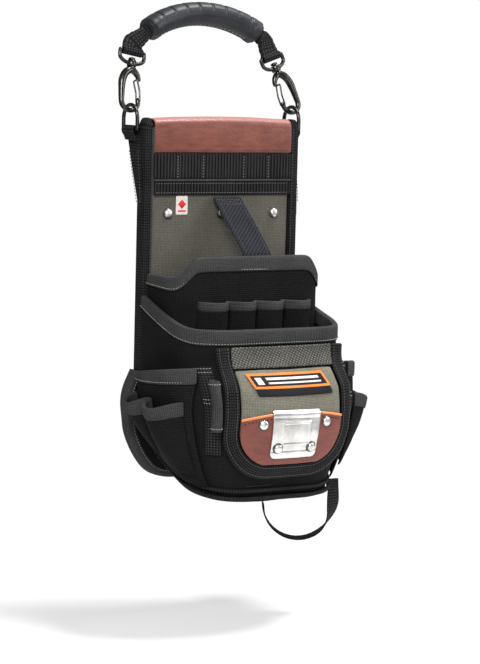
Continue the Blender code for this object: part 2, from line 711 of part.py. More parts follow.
def ring_and_strap(side, sign):
    """D-ring that hinges on its straight bar, and the strap whose barrel holds the bar."""
    hinge = pivot(f"d_ring_pivot_{side}", Matrix.Translation((sign * RING_X, RING_Y, RING_BAR)), DATUM)
    half, bow = RING_HALF, 13 * MM
    shoulder = RING_TOP - RING_BAR - bow
    ring = [(0, -half, 0), (0, -half, shoulder)]
    ring += [(0, -half * math.cos(a), shoulder + bow * math.sin(a))
             for a in (math.pi * i / 12 for i in range(1, 12))]
    ring += [(0, half, shoulder), (0, half, 0)]
    tube(f"d_ring_{side}", ring, WIRE, GUNMETAL, cyclic=True, sides=3, parent=hinge)

    outline = [(8, 330.5), (32, 330.5), (31, 320), (20.5, 291), (9, 260), (4, 247), (1, 250), (1, 270),
               (4, 300)]
    outline = [(u * MM, v * MM) for u, v in outline]
    low, high = sorted((sign * (EDGE_HALF + 0.5 * MM), sign * (EDGE_HALF + 2.5 * MM)))
    strap = as_mesh(plate(f"ring_strap_{side}", outline, low, high, WEBBING, plane="YZ"))
    x = sign * RING_X

    def bar_rod(name, reach, radius):
        return rod(name, (x, RING_Y - reach, RING_BAR), (x, RING_Y + reach, RING_BAR), radius)

    barrel = bar_rod(f"ring_barrel_{side}", 10.9 * MM, 3.5 * MM)
    hole = bar_rod(f"ring_hole_{side}", 15 * MM, WIRE + 0.3 * MM)
    boolean(strap, barrel, "UNION")
    boolean(strap, hole, "DIFFERENCE")


def snap_hook(side, sign, swing):
    """Snap hook, its wire gate and the swivel eye above it, in a frame on the snap's own long axis.

    Points are (u, v, w) in millimetres: u towards the gate, w up the axis from the bend's centre.
    """
    lean = Matrix.Rotation(math.radians(-sign * SNAP_LEAN[side]), 4, "Y")
    axis = pivot(f"snap_pivot_{side}", Matrix.Translation((sign * RING_X, 0, SNAP_BEND)) @ lean, swing)

    def at(u, v, w):
        return Vector((-sign * u, v, w)) * MM

    bend = SNAP_BEND / MM
    path = [(9.0, 4.5)]
    path += [(bend * math.cos(a), -bend * math.sin(a)) for a in (math.pi * i / 12 for i in range(13))]
    path += [(-9.3, 7), (-9.4, 14), (-9.0, 20), (-7.2, 25.5), (-4, 29.6), (0, 31.3), (4, 29.8), (7.2, 26.2),
             (8.9, 21.5)]
    wire = [at(u, 0, w) for u, w in path]
    body = as_mesh(tube(f"snap_body_{side}", wire, SNAP_WIRE, GUNMETAL, sides=3, parent=axis))
    post = rod(f"snap_post_{side}", at(0, 0, 31), at(0, 0, 42), 1.9 * MM, parent=axis)
    head = rod(f"snap_head_{side}", at(0, 0, 41.2), at(0, 0, 43.8), 3.4 * MM, parent=axis)
    gate_hole = rod(f"gate_hole_{side}", at(9, -6, 1.5), at(9, 6, 1.5), 1.15 * MM, 12, parent=axis)
    boolean(body, post, "UNION")
    boolean(body, head, "UNION")
    boolean(body, gate_hole, "DIFFERENCE")

    eye = [(-EYE_HALF / MM, EYE_BAR / MM), (-13.2, 46)]
    eye += [(-13.2 * math.cos(a), 44.5 - 7.0 * math.sin(a)) for a in (math.pi * i / 10 for i in range(1, 10))]
    eye += [(13.2, 46), (EYE_HALF / MM, EYE_BAR / MM)]
    ring = as_mesh(tube(f"swivel_eye_{side}", [at(u, 0, w) for u, w in eye], WIRE, GUNMETAL, True, 3, axis))
    boss = rod(f"eye_boss_{side}", at(0, 0, 34.4), at(0, 0, 40.6), 4.6 * MM, parent=axis)
    bore = rod(f"eye_bore_{side}", at(0, 0, 32), at(0, 0, 46), 2.25 * MM, parent=axis)
    boolean(ring, boss, "UNION")
    boolean(ring, bore, "DIFFERENCE")

    hinge = pivot(f"gate_pivot_{side}", Matrix.Translation(at(9, 0, 1.5)), axis)
    across, top = 3.6, 20.1
    gate = [(0, -across, 0), (0, across, 0), (-0.8, across, 9.5), (-3.6, across, top - 1),
            (-4.1, across - 1, top),
            (-4.1, 1 - across, top), (-3.6, -across, top - 1), (-0.8, -across, 9.5)]
    tube(f"snap_gate_{side}", [at(u, v, w) for u, v, w in gate], 0.75 * MM, STEEL, cyclic=True, parent=hinge)
    bar = EYE_BAR / MM
    barrel = rod(f"strap_barrel_{side}", at(-10.6, 0, bar), at(10.6, 0, bar), 4.1 * MM, parent=axis)
    hole = rod(f"strap_hole_{side}", at(-14, 0, bar), at(14, 0, bar), WIRE + 0.3 * MM, parent=axis)
    return axis, barrel, hole


def arc_point(angle):
    """Point on the grip's arc in the handle's own plane, measured from the top towards +X."""
    return Vector((math.sin(angle), 0, math.cos(angle))) * GRIP_RADIUS + Vector((0, 0, GRIP_RISE - GRIP_RADIUS))


def handle_path(left, right, span):
    """Centre line of the webbing from one swivel eye through the grip to the other."""
    ends = []
    for axis in (left, right):
        up = axis.matrix_basis.to_3x3() @ Vector((0, 0, 1))
        ends.append([axis.matrix_basis.translation + up * (EYE_BAR + rise * MM) for rise in (2.6, 8)])
    middle = [arc_point(blend(-span, span, i / 12)) for i in range(13)]
    entry, leave = arc_point(-span * 1.13), arc_point(span * 1.13)
    return [*ends[0], entry, *middle, leave, *reversed(ends[1])]


def handle(swing):
    span = math.radians(GRIP_SPAN)
    left, left_barrel, left_hole = snap_hook("left", -1, swing)
    right, right_barrel, right_hole = snap_hook("right", 1, swing)
    path = handle_path(left, right, span)
    count = len(path)
    rows = []
    for i, point in enumerate(path):
        along = (path[min(i + 1, count - 1)] - path[max(i - 1, 0)]).normalized()
        out = Vector((-along.z, 0, along.x))
        ends = min(i, count - 1 - i)
        wide, thick = ((10.4, 2.1), (10.2, 2.4), (7.6, 4.2))[ends] if ends < 3 else (6.2, 5.0)
        ring = [(1, 0.6), (0.85, 1), (-0.85, 1), (-1, 0.6), (-1, -0.6), (-0.85, -1), (0.85, -1), (1, -0.6)]
        rows.append([point + out * wide * a * MM + Vector((0, thick * b * MM, 0)) for a, b in ring])
    mesh = grid_mesh("handle_strap", rows, cyclic=True)
    work = bmesh.new()
    work.from_mesh(mesh)
    bmesh.ops.holes_fill(work, edges=work.edges)
    bmesh.ops.recalc_face_normals(work, faces=work.faces)
    work.to_mesh(mesh)
    work.free()
    strap = bpy.data.objects.new("handle_strap", mesh)
    PARTS.objects.link(strap)
    adopt(strap, WEBBING, swing)
    for barrel, hole in ((left_barrel, left_hole), (right_barrel, right_hole)):
        boolean(strap, barrel, "UNION")
        boolean(strap, hole, "DIFFERENCE")

    rows = []
    for i in range(15):
        angle = blend(-span, span, i / 14)
        out = Vector((math.sin(angle), 0, math.cos(angle)))
        rows.append([arc_point(angle) + out * 11 * math.cos(a) * MM + Vector((0, 14 * math.sin(a) * MM, 0))
                     for a in (2 * math.pi * k / 16 for k in range(16))])
    grip = sheet("hand_grip", rows, 3.4 * MM, RUBBER, Vector((0, 0, 1)), cyclic=True, parent=swing)
    first = grip.data.polygons[0]
    faces_out = first.normal.dot(first.center - arc_point(-span)) > 0
    grip.modifiers["thickness"].offset = -1.0 if faces_out else 1.0


def main():
    back_panel()
    lower_binding()
    top_cap()
    panel_trim()
    belt_loop()
    centre_strap()
    body_shell()
    divider()
    inner_sleeves()
    for side, sign in (("left", -1), ("right", 1)):
        side_pockets(side, sign)
        ring_and_strap(side, sign)
    corner_pockets()
    shield()
    clip_plate()
    pen_sleeve()
    tape_strap()
    lean = Matrix.Rotation(math.radians(-HANDLE_LEAN), 4, "X")
    handle(pivot("handle_pivot", Matrix.Translation((0, RING_Y, SWING_HEIGHT)) @ lean, DATUM))


main()
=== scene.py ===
"""Looks of the electrician tool pouch: fabric, webbing, leather, stitching and hardware on the CAD frame.

Shapes are worked out in the part's own local frame, in metres: Y = 0 is the back panel's front face,
-Y is the front and Z = 0 lies 9 mm above the base seam at the front.  PLACE carries that frame into the
row frame.
"""

import math

import bpy
from mathutils import Matrix, Vector, noise


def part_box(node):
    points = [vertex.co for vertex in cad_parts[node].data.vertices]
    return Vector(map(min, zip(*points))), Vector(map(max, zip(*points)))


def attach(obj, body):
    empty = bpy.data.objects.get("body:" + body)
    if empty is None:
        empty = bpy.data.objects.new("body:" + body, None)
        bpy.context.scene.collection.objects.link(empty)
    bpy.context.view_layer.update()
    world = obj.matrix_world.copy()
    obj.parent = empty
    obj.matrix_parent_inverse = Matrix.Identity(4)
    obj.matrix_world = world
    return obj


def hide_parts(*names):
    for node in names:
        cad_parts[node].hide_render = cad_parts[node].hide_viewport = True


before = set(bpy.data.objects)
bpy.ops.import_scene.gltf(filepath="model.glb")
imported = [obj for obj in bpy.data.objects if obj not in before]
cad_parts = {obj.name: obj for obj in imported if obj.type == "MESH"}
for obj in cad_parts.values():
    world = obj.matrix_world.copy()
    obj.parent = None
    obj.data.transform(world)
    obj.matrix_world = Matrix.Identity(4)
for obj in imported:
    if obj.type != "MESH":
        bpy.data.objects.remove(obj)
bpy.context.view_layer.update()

MM = 0.001
PAD_LOW, PAD_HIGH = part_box("hip_pad")
PLACE = Vector((0, PAD_HIGH.y - 18 * MM, PAD_LOW.z - 58 * MM))
AHEAD, BEHIND, UP = Vector((0, -1, 0)), Vector((0, 1, 0)), Vector((0, 0, 1))
SIDES = (("left", -1), ("right", 1))

# Back panel
PANEL_HALF, PANEL_TOP, PANEL_BACK, PANEL_MIDDLE = 78.2 * MM, 335 * MM, 12 * MM, 6 * MM
PANEL_EDGE = ((2, 57), (11, 74), (25, 85), (42, 92.5), (56, 95), (70, 96), (80, 93.5), (92, 87), (106, 79.5),
              (112, 78.2), (335, 78.2))
FLARE_TOP, EDGE_TAPE_X, EDGE_TAPE_TOP = 112, 83.2 * MM, 331 * MM
CAP_LOW, DAISY_LOW, TRIM_LOW = 310 * MM, 283.5 * MM, 269 * MM
TACK_LINES = (-51.5, -23.2, 23.2, 51.5)
RIVET_HEIGHT, RIVET_SPREAD = 251.5 * MM, 60.3 * MM
PAD_HALF, PAD_FOOT, PAD_TOP, PAD_FACE, PAD_PUFF = 72 * MM, 58 * MM, 222 * MM, 17.2 * MM, 3.4 * MM
PAD_ROUND, PAD_INSET = 6 * MM, 5 * MM
PAD_COLUMNS, PAD_ROWS, CHANNEL_COLUMNS, CHANNEL_ROWS = 37, 41, 9, 10

# Pocket body
BODY_HALF, BODY_DEPTH, BODY_CORNER, BODY_MIDDLE = 88 * MM, 130 * MM, 45 * MM, -45 * MM
BODY_WALL, BODY_BACK = 3 * MM, -2.4 * MM
TAPER_FROM, TAPER_WIDTH, TAPER_DEPTH = 90 * MM, 12 * MM, 17 * MM
MOUTH_SET_BACK = 24 * MM
RIM_FRONT, RIM_RISE = 147 * MM, 26 * MM
SEAM_FRONT, SEAM_RISE, BELLY = -9 * MM, 62 * MM, 12 * MM
SIDE_STEPS, CORNER_STEPS, FRONT_STEPS = 16, 14, 20
DIVIDER_HALF, DIVIDER_DEPTH, DIVIDER_CORNER, DIVIDER_WALL = 82.2 * MM, 60 * MM, 20 * MM, 2.4 * MM
SLEEVES, SLEEVE_LOW, SLEEVE_TOP, SLEEVE_HALF = 4, 62 * MM, 168 * MM, 62 * MM
POCKET_Y = (-10 * MM, -98 * MM)
POCKET_BULGE, POCKET_WALL, POCKET_FOOT = 16 * MM, 1.8 * MM, 9 * MM
TUBE_BULGE, TUBE_RIM, TUBE_DIP, TUBE_FOOT = 17 * MM, 81 * MM, 7 * MM, 20 * MM
TUBES = (("rear", (-13.5 * MM, -53 * MM)), ("front", (-57.5 * MM, -95 * MM)))
PEN_X, PEN_RADIUS, PEN_SIDES = -77.4 * MM, 5.2 * MM, 28

# Front shield
SHIELD_LINE, SHIELD_LOW, SHIELD_CORNER, SHIELD_EDGE = 64 * MM, 17 * MM, 42 * MM, 7.4 * MM
SHIELD_Y = ((8, -124), (17, -128), (32, -134), (55, -139.5), (73, -141.5), (85, -141), (95, -138),
            (104, -130), (114, -119.5), (124, -115.5), (140, -114.5))
SHIELD_HALF = ((94, 64), (112, 62.5), (134, 64))
SHIELD_CROWN = ((8, 1.6), (45, 2.8), (88, 2.8), (114, 1.2), (140, 1.0))
BINDING_CROWN, PATCH_REACH = 2.1 * MM, 51 * MM
LABEL_LEFT, LABEL_RIGHT = -39, 45
PLATE_LOW, PLATE_HIGH, PLATE_CORNER = 31.5 * MM, 76.5 * MM, 5 * MM

# Handle and hardware
WIRE = 1.9 * MM
RING_X, RING_Y, RING_BAR, RING_TOP, RING_HALF = 92 * MM, 20 * MM, 331.5 * MM, 354.5 * MM, 13.1 * MM
SWING_HEIGHT = RING_TOP - 5.4 * MM
SNAP_LEAN = {"left": 11.0, "right": 19.0}
SNAP_RADII = (2.3, 2.3, 2.4, 2.7, 3.1, 3.7, 3.8, 3.1, 2.2)
HANDLE_LEAN, EYE_BAR, EYE_HALF, SNAP_BEND = 16.0, 50 * MM, 13.2, 9 * MM
GRIP_RISE, GRIP_RADIUS, GRIP_SPAN = 97.5 * MM, 114.8 * MM, math.radians(33)
GRIP_HALF_THICK, GRIP_HALF_WIDE, GRIP_SIDES, GRIP_GROOVES = 11 * MM, 14 * MM, 56, 8
SWING = Matrix.Translation((0, RING_Y, SWING_HEIGHT)) @ Matrix.Rotation(math.radians(-HANDLE_LEAN), 4, "X")
SWING_ACROSS = (SWING.to_3x3() @ Vector((0, 1, 0))).normalized()

# Stage and camera
FLOOR_RADIUS, FLOOR_HEIGHT, FLOOR_SIDES = 0.62, -0.285, 96
LIGHTS_AIM = (0, -0.05, 0.06)
LIGHTS = (("key", (-1.5, -1.8, 1.7), 0.9, 70), ("fill", (1.7, -1.4, 0.8), 1.2, 26),
          ("front", (-0.6, -2.6, 0.2), 1.2, 14), ("top", (0.75, -0.25, 2.0), 0.7, 55))
CAMERA_PLACE, CAMERA_TURN = (-1.318, -2.107, 0.3975), (-32.6, 6.5, 1.5)
LENS, LENS_SHIFT = 138.8493976, (-0.0045180723, 0.0331325301)


# ---------------------------------------------------------------- arithmetic

def blend(a, b, t):
    return a + (b - a) * t


def clamp(t):
    return max(0.0, min(1.0, t))


def smooth(t):
    t = clamp(t)
    return t * t * (3 - 2 * t)


def steps(count, low=0.0, high=1.0):
    return [blend(low, high, i / (count - 1)) for i in range(count)]


def round_angles(count):
    """The angles of a full turn in equal parts, the last part left open."""
    return [2 * math.pi * i / count for i in range(count)]


def half_turn(count):
    """The angles of half a turn in equal parts, without its two ends."""
    return [math.pi * i / count for i in range(1, count)]


def mm(*place):
    """A vector given in millimetres."""
    return Vector(place) * MM


def read_table(table, value):
    """Straight-line reading of a ((place, result), ...) table given in millimetres."""
    value /= MM
    for (low, a), (high, b) in zip(table, table[1:]):
        if value <= high:
            return blend(a, b, clamp((value - low) / (high - low))) * MM
    return table[-1][1] * MM


def soft_table(table, value, reach=4 * MM):
    """The table's reading averaged over a few millimetres, so that its corners are rounded."""
    return sum(read_table(table, value + d * reach) for d in (-1, -0.5, 0, 0.5, 1)) / 5


def curve_through(points, count):
    """Points spread evenly along a smooth line through the given points."""
    points = [Vector(p) for p in points]
    ends = [points[0] * 2 - points[1], *points, points[-1] * 2 - points[-2]]
    fine = []
    for i in range(1, len(points)):
        a, b, c, d = ends[i - 1:i + 3]
        for k in range(16):
            t = k / 16
            fine.append(0.5 * (2 * b + (c - a) * t + (2 * a - 5 * b + 4 * c - d) * t ** 2
                               + (3 * b - a - 3 * c + d) * t ** 3))
    return evenly([*fine, points[-1]], count)


def evenly(points, count):
    """The same line with its points at equal distances."""
    reach = [0.0]
    for a, b in zip(points, points[1:]):
        reach.append(reach[-1] + (b - a).length)
    made, k = [], 0
    for target in steps(count, 0, reach[-1]):
        while k < len(points) - 2 and reach[k + 1] < target:
            k += 1
        step = max(reach[k + 1] - reach[k], 1e-9)
        made.append(points[k].lerp(points[k + 1], clamp((target - reach[k]) / step)))
    return made


def evenly_closed(points, count):
    """A closed line through the given points, with count points at equal distances."""
    return evenly([*points, points[0]], count + 1)[:-1]


def length_of(points):
    return sum((Vector(b) - Vector(a)).length for a, b in zip(points, points[1:]))


def direction(line, i):
    """Which way a line of points runs at its point i."""
    return (line[min(i + 1, len(line) - 1)] - line[max(i - 1, 0)]).normalized()


def round_off(radius, drop):
    """How far a corner's curve stands out, at a distance from the corner's centre."""
    return math.sqrt(max(radius ** 2 - drop ** 2, 0.0))


# ---------------------------------------------------------------- materials

def new_shader(name, roughness, metallic=0.0, coat=0.0, gloss=0.5):
    made = bpy.data.materials.new(name)
    made.use_nodes = True
    shader = made.node_tree.nodes["Principled BSDF"]
    for socket, value in (("Roughness", roughness), ("Metallic", metallic),
                          ("Coat Weight", coat), ("Specular IOR Level", gloss)):
        shader.inputs[socket].default_value = value
    return made, made.node_tree, shader


def node(tree, kind, inputs=(), **settings):
    """A new node; its inputs are set to values, or linked when the value is another node's output."""
    made = tree.nodes.new(kind)
    for key, value in settings.items():
        setattr(made, key, value)
    for key, value in inputs:
        if isinstance(value, bpy.types.NodeSocket):
            tree.links.new(value, made.inputs[key])
        else:
            made.inputs[key].default_value = value
    return made


def scaled(tree, value, by, plus=0.0):
    """A node for value * by + plus."""
    return node(tree, "ShaderNodeMath", [(0, value), (1, by), (2, plus)], operation="MULTIPLY_ADD").outputs[0]


def object_place(tree):
    return node(tree, "ShaderNodeTexCoord").outputs["Object"]


def noise_of(tree, scale, detail, place=None):
    inputs = [("Vector", place or object_place(tree)), ("Scale", scale), ("Detail", detail)]
    return node(tree, "ShaderNodeTexNoise", inputs).outputs["Fac"]


def ramp_between(tree, factor, low, high, dark, light):
    ramp = node(tree, "ShaderNodeValToRGB", [("Fac", factor)])
    first, last = ramp.color_ramp.elements
    first.position, last.position = low, high
    first.color, last.color = (*dark, 1), (*light, 1)
    return ramp.outputs["Color"]


def dress(tree, shader, colour, roughness, height, strength, depth):
    """Links a worked-out colour, roughness and bump height to a shader."""
    bump = node(tree, "ShaderNodeBump", [("Height", height), ("Strength", strength), ("Distance", depth)])
    links = {"Base Color": colour, "Roughness": roughness, "Normal": bump.outputs["Normal"]}
    for socket, value in links.items():
        tree.links.new(value, shader.inputs[socket])


def bands(tree, axis, pitch, place):
    """Threads repeated every pitch metres along one UV axis."""
    inputs = [("Vector", place), ("Scale", 0.314 / pitch)]
    return node(tree, "ShaderNodeTexWave", inputs, bands_direction=axis).outputs["Fac"]


def woven(name, dark, light, across, along, roughness=0.8, strength=0.6, depth=0.4, turn=0.0, threads=0.42):
    """Cloth of crossing threads: thread pitches and bump depth in millimetres; turn slants the threads."""
    made, tree, shader = new_shader(name, roughness, gloss=0.06)
    place = node(tree, "ShaderNodeUVMap").outputs["UV"]
    if turn:
        slant = [("Vector", place), ("Rotation", (0, 0, turn))]
        place = node(tree, "ShaderNodeMapping", slant).outputs["Vector"]
    weave = scaled(tree, bands(tree, "X", across * MM, place), bands(tree, "Y", along * MM, place))
    patches = noise_of(tree, 38.0, 5.0)
    fuzz = noise_of(tree, 750.0, 3.0)
    tone = scaled(tree, weave, threads, scaled(tree, fuzz, 0.9 - threads, scaled(tree, patches, 0.25)))
    dress(tree, shader, ramp_between(tree, tone, 0.2, 0.85, dark, light),
          scaled(tree, fuzz, 0.2, roughness - 0.1), scaled(tree, fuzz, 0.4, weave), strength, depth * MM)
    return made


def fine_cloth(name, dark, light, pitch=0.5, roughness=0.6):
    """Smooth close weave, for sewing thread and labels."""
    return woven(name, dark, light, pitch, pitch, roughness, strength=0.2)


def thread(name, dark, light):
    return fine_cloth(f"thread_{name}", dark, light, 0.4, 0.7)


def leather(name, dark, light, edge):
    """Grained leather with painted top light: it turns towards the edge colour where it faces up, as over a
    fold.
    """
    made, tree, shader = new_shader(name, 0.48, coat=0.06, gloss=0.3)
    place = object_place(tree)
    grain = node(tree, "ShaderNodeTexVoronoi", [("Vector", place), ("Scale", 620.0)],
                 feature="SMOOTH_F1").outputs["Distance"]
    mottle = noise_of(tree, 55.0, 6.0)
    drawn = node(tree, "ShaderNodeMapping", [("Vector", place), ("Scale", (0.3, 1, 1))]).outputs["Vector"]
    creases = noise_of(tree, 240.0, 8.0, drawn)
    tone = ramp_between(tree, scaled(tree, mottle, 0.45, scaled(tree, creases, 0.55)), 0.2, 0.75, dark, light)
    # Painted highlight: the colour turns paler, towards edge, where the surface faces up.
    facing = node(tree, "ShaderNodeSeparateXYZ", [(0, node(tree, "ShaderNodeNewGeometry").outputs["Normal"])])
    lit_from_above = node(tree, "ShaderNodeMapRange", [("Value", facing.outputs["Z"]), ("From Min", 0.35),
                                             ("From Max", 0.95), ("To Max", 0.8)]).outputs[0]
    mixed = node(tree, "ShaderNodeMix", [(0, lit_from_above), (6, tone), (7, (*edge, 1))], data_type="RGBA").outputs[2]
    dress(tree, shader, mixed, scaled(tree, creases, 0.25, 0.36), scaled(tree, creases, 0.8, grain), 0.45,
          0.35 * MM)
    return made


def metal(name, colour, roughness):
    """Plated metal with faint smears and fine scratches."""
    made, tree, shader = new_shader(name, roughness, metallic=1.0)
    smear = noise_of(tree, 90.0, 4.0)
    darker = [c * 0.72 for c in colour]
    dress(tree, shader, ramp_between(tree, smear, 0.35, 0.65, darker, colour),
          scaled(tree, smear, 0.18, roughness - 0.07), noise_of(tree, 900.0, 6.0), 0.12, 0.06 * MM)
    return made


def rubber(name, dark, light):
    """Moulded grip rubber with a fine eggshell texture."""
    made, tree, shader = new_shader(name, 0.5, gloss=0.35)
    patches = noise_of(tree, 45.0, 4.0)
    dress(tree, shader, ramp_between(tree, patches, 0.3, 0.7, dark, light),
          scaled(tree, patches, 0.2, 0.38), noise_of(tree, 1500.0, 2.0), 0.25, 0.1 * MM)
    return made


INK = (0.001, 0.001, 0.001)
BLACK = woven("nylon_black", INK, (0.017, 0.017, 0.018), 2.0, 2.0, depth=0.6)
BACKING = woven("backing_black", INK, (0.018, 0.018, 0.019), 1.8, 1.8)
WEBBING = woven("webbing_black", INK, (0.040, 0.040, 0.042), 2.8, 2.8, 0.7, depth=0.7, threads=0.6)
RIBBED_WEB = woven("webbing_ribbed", INK, (0.042, 0.042, 0.044), 3.4, 0.9, 0.7, depth=0.8, threads=0.75)
CROSS_WEB = woven("webbing_slanted", (0.001, 0.001, 0.002), (0.034, 0.036, 0.046), 3.0, 3.0, 0.65, turn=0.78,
                  threads=0.6)
BINDING_BLACK = woven("binding_black", INK, (0.030, 0.030, 0.032), 2.2, 2.6, 0.7, depth=0.6, threads=0.55)
OLIVE = woven("nylon_olive", (0.060, 0.057, 0.044), (0.260, 0.250, 0.200), 1.5, 1.5, 0.85)
PANEL_OLIVE = woven("panel_olive", (0.045, 0.042, 0.035), (0.150, 0.143, 0.120), 1.5, 1.5, 0.85)
BAND_OLIVE = woven("band_olive", (0.006, 0.006, 0.005), (0.185, 0.182, 0.162), 3.0, 2.4, 0.85, strength=0.9,
                   depth=0.7, turn=0.5, threads=0.5)
RIM_GREY = woven("rim_grey", (0.010, 0.010, 0.010), (0.074, 0.076, 0.075), 1.8, 1.2, 0.8)
# The last colour of each leather below is its painted top highlight, shown where the surface faces up.
LEATHER = leather("cap_leather", (0.070, 0.019, 0.013), (0.190, 0.057, 0.038), (0.36, 0.16, 0.15))
PATCH_LEATHER = leather("patch_leather", (0.085, 0.022, 0.017), (0.190, 0.053, 0.040), (0.38, 0.17, 0.10))
ORANGE = leather("orange_edge", (0.45, 0.12, 0.03), (0.72, 0.24, 0.08), (0.80, 0.34, 0.14))
THREAD_GREY = thread("grey", (0.20, 0.20, 0.19), (0.50, 0.50, 0.48))
THREAD_MID = thread("mid", (0.08, 0.08, 0.08), (0.26, 0.26, 0.26))
THREAD_DARK = thread("dark", (0.030, 0.030, 0.032), (0.15, 0.15, 0.155))
THREAD_RED = thread("red", (0.03, 0.006, 0.005), (0.10, 0.018, 0.014))
LABEL_BLACK = fine_cloth("label_black", (0.005, 0.005, 0.006), (0.025, 0.025, 0.027))
LABEL_ORANGE = fine_cloth("label_orange", (0.50, 0.12, 0.02), (0.90, 0.28, 0.07))
TAG_WHITE = fine_cloth("tag_white", (0.45, 0.40, 0.38), (0.75, 0.70, 0.67), roughness=0.7)
TAG_RED = fine_cloth("tag_red", (0.40, 0.02, 0.03), (0.70, 0.05, 0.06), roughness=0.7)
GUNMETAL = metal("gunmetal_plate", (0.055, 0.055, 0.050), 0.24)
GATE_STEEL = metal("gate_steel", (0.085, 0.085, 0.080), 0.28)
STEEL = metal("nickel_steel", (0.74, 0.73, 0.71), 0.33)
DARK_STEEL = metal("rivet_rim", (0.12, 0.11, 0.10), 0.4)
RUBBER = rubber("grip_rubber_moulded", (0.008, 0.009, 0.012), (0.018, 0.020, 0.025))

SLOTS = {"black_nylon": (BLACK, BACKING, BINDING_BLACK), "black_webbing": (WEBBING, RIBBED_WEB, CROSS_WEB),
         "grey_nylon": (OLIVE, PANEL_OLIVE, BAND_OLIVE), "grey_binding": (RIM_GREY,),
         "brown_leather": (LEATHER, PATCH_LEATHER, ORANGE), "woven_label": (LABEL_BLACK, LABEL_ORANGE),
         "white_tag": (TAG_WHITE, TAG_RED), "gunmetal": (GUNMETAL,),
         "bright_steel": (STEEL, DARK_STEEL, GATE_STEEL), "grip_rubber": (RUBBER,)}
SLOT_OF = {finish.name: slot for slot, finishes in SLOTS.items() for finish in finishes}


# ---------------------------------------------------------------- mesh makers

def grid(name, rows, cyclic=False, closed_ends=False):
    """Quads over rows of points, with UVs in metres: U along each row and V from row to row."""
    count = len(rows[0])
    across = count if cyclic else count - 1
    faces = [(r * count + c, r * count + (c + 1) % count,
              (r + 1) * count + (c + 1) % count, (r + 1) * count + c)
             for r in range(len(rows) - 1) for c in range(across)]
    if closed_ends:
        last = (len(rows) - 1) * count
        faces.append(tuple(reversed(range(count))))
        faces.append(tuple(range(last, last + count)))
    mesh = bpy.data.meshes.new(name)
    mesh.from_pydata([Vector(p) for row in rows for p in row], [], faces)
    middle_row = [Vector(p) for p in rows[len(rows) // 2]]
    column = [Vector(row[count // 2]) for row in rows]
    u, v = [0.0], [0.0]
    for a, b in zip(middle_row, middle_row[1:] + middle_row[:1]):
        u.append(u[-1] + (b - a).length)
    for a, b in zip(column, column[1:]):
        v.append(v[-1] + (b - a).length)
    layer = mesh.uv_layers.new(name="UVMap")
    loop = 0
    for r in range(len(rows) - 1):
        for c in range(across):
            for corner, (dc, dr) in enumerate(((0, 0), (1, 0), (1, 1), (0, 1))):
                layer.data[loop + corner].uv = (u[c + dc], v[r + dr])
            loop += 4
    return mesh


def piece(name, mesh, finish, *nodes, body="pouch", slot=None):
    """A mesh made into a shown piece that rides a body and stands for CAD nodes."""
    obj = bpy.data.objects.new(name, mesh)
    bpy.context.scene.collection.objects.link(obj)
    mesh.transform(Matrix.Translation(PLACE))
    mesh.materials.append(finish)
    mesh.shade_smooth()
    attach(obj, body)
    if nodes:
        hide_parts(*nodes)
    slot = slot or SLOT_OF.get(finish.name)
    return obj


def solid(name, rows, finish, *nodes, body="pouch", slot=None):
    """A closed piece over rows of points that each run round it."""
    return piece(name, grid(name, rows, True, True), finish, *nodes, body=body, slot=slot)


def subdivide(obj):
    fine = obj.modifiers.new("rounding", "SUBSURF")
    fine.levels = fine.render_levels = 1


def fabric(name, rows, thick, finish, towards, *nodes, slot=None, cyclic=False, soft=True):
    """A sheet over rows of points, thickened towards a direction (a vector or a function of place).

    Cloth is soft: its mesh is rounded.
    """
    mesh = grid(name, rows, cyclic)
    leaning = sum(face.normal.dot(towards(face.center) if callable(towards) else towards) * face.area
                  for face in mesh.polygons)
    obj = piece(name, mesh, finish, *nodes, slot=slot)
    thickness = obj.modifiers.new("thickness", "SOLIDIFY")
    thickness.thickness = thick
    thickness.offset = 1.0 if leaning > 0 else -1.0
    if soft:
        subdivide(obj)


def normal_at(rows, r, c):
    """Normal of a grid of points at a row and column: right-handed from along-the-row to along-the-column."""
    a, b = rows[r][max(c - 1, 0)], rows[r][min(c + 1, len(rows[0]) - 1)]
    d, e = rows[max(r - 1, 0)][c], rows[min(r + 1, len(rows) - 1)][c]
    return (Vector(b) - Vector(a)).cross(Vector(e) - Vector(d)).normalized()


def rumple(rows, size, depth, seed=0.0):
    """Moves the points of a surface in and out by smooth noise, along the surface's normal."""
    shift = Vector((seed, seed * 2, -seed))
    return [[Vector(p) + normal_at(rows, r, c) * depth * noise.noise(Vector(p) / size + shift)
             for c, p in enumerate(row)] for r, row in enumerate(rows)]


def oval(half_a, half_b, count=16, squareness=1.0):
    """A closed profile: an ellipse, or a rounded box as squareness drops below one."""
    return [(half_a * math.copysign(abs(math.cos(a)) ** squareness, math.cos(a)),
             half_b * math.copysign(abs(math.sin(a)) ** squareness, math.sin(a)))
            for a in round_angles(count)]


def bead(name, path, profile, finish, *nodes, up=BEHIND, slot=None, scale=lambda t: 1.0):
    """A cord or binding: a profile in millimetres swept along a path, closed at both ends."""
    path = [Vector(p) for p in path]
    rows = []
    for i, point in enumerate(path):
        along = direction(path, i)
        side = along.cross(up).normalized()
        lift = side.cross(along)
        grow = scale(i / (len(path) - 1)) * MM
        rows.append([point + side * a * grow + lift * b * grow for a, b in profile])
    return solid(name, rows, finish, *nodes, slot=slot)


def ring_bead(name, path, radius, finish, *nodes, body="pouch", sides=14):
    """A closed loop of round wire."""
    count = len(path)
    centre = sum(path, Vector()) / count
    rows = []
    for i in range(count + 1):
        point = path[i % count]
        along = (path[(i + 1) % count] - path[(i - 1) % count]).normalized()
        side = along.cross(point - centre).normalized()
        lift = side.cross(along)
        rows.append([point + side * a + lift * b for a, b in oval(radius, radius, sides)])
    return piece(name, grid(name, rows, True), finish, *nodes, body=body)


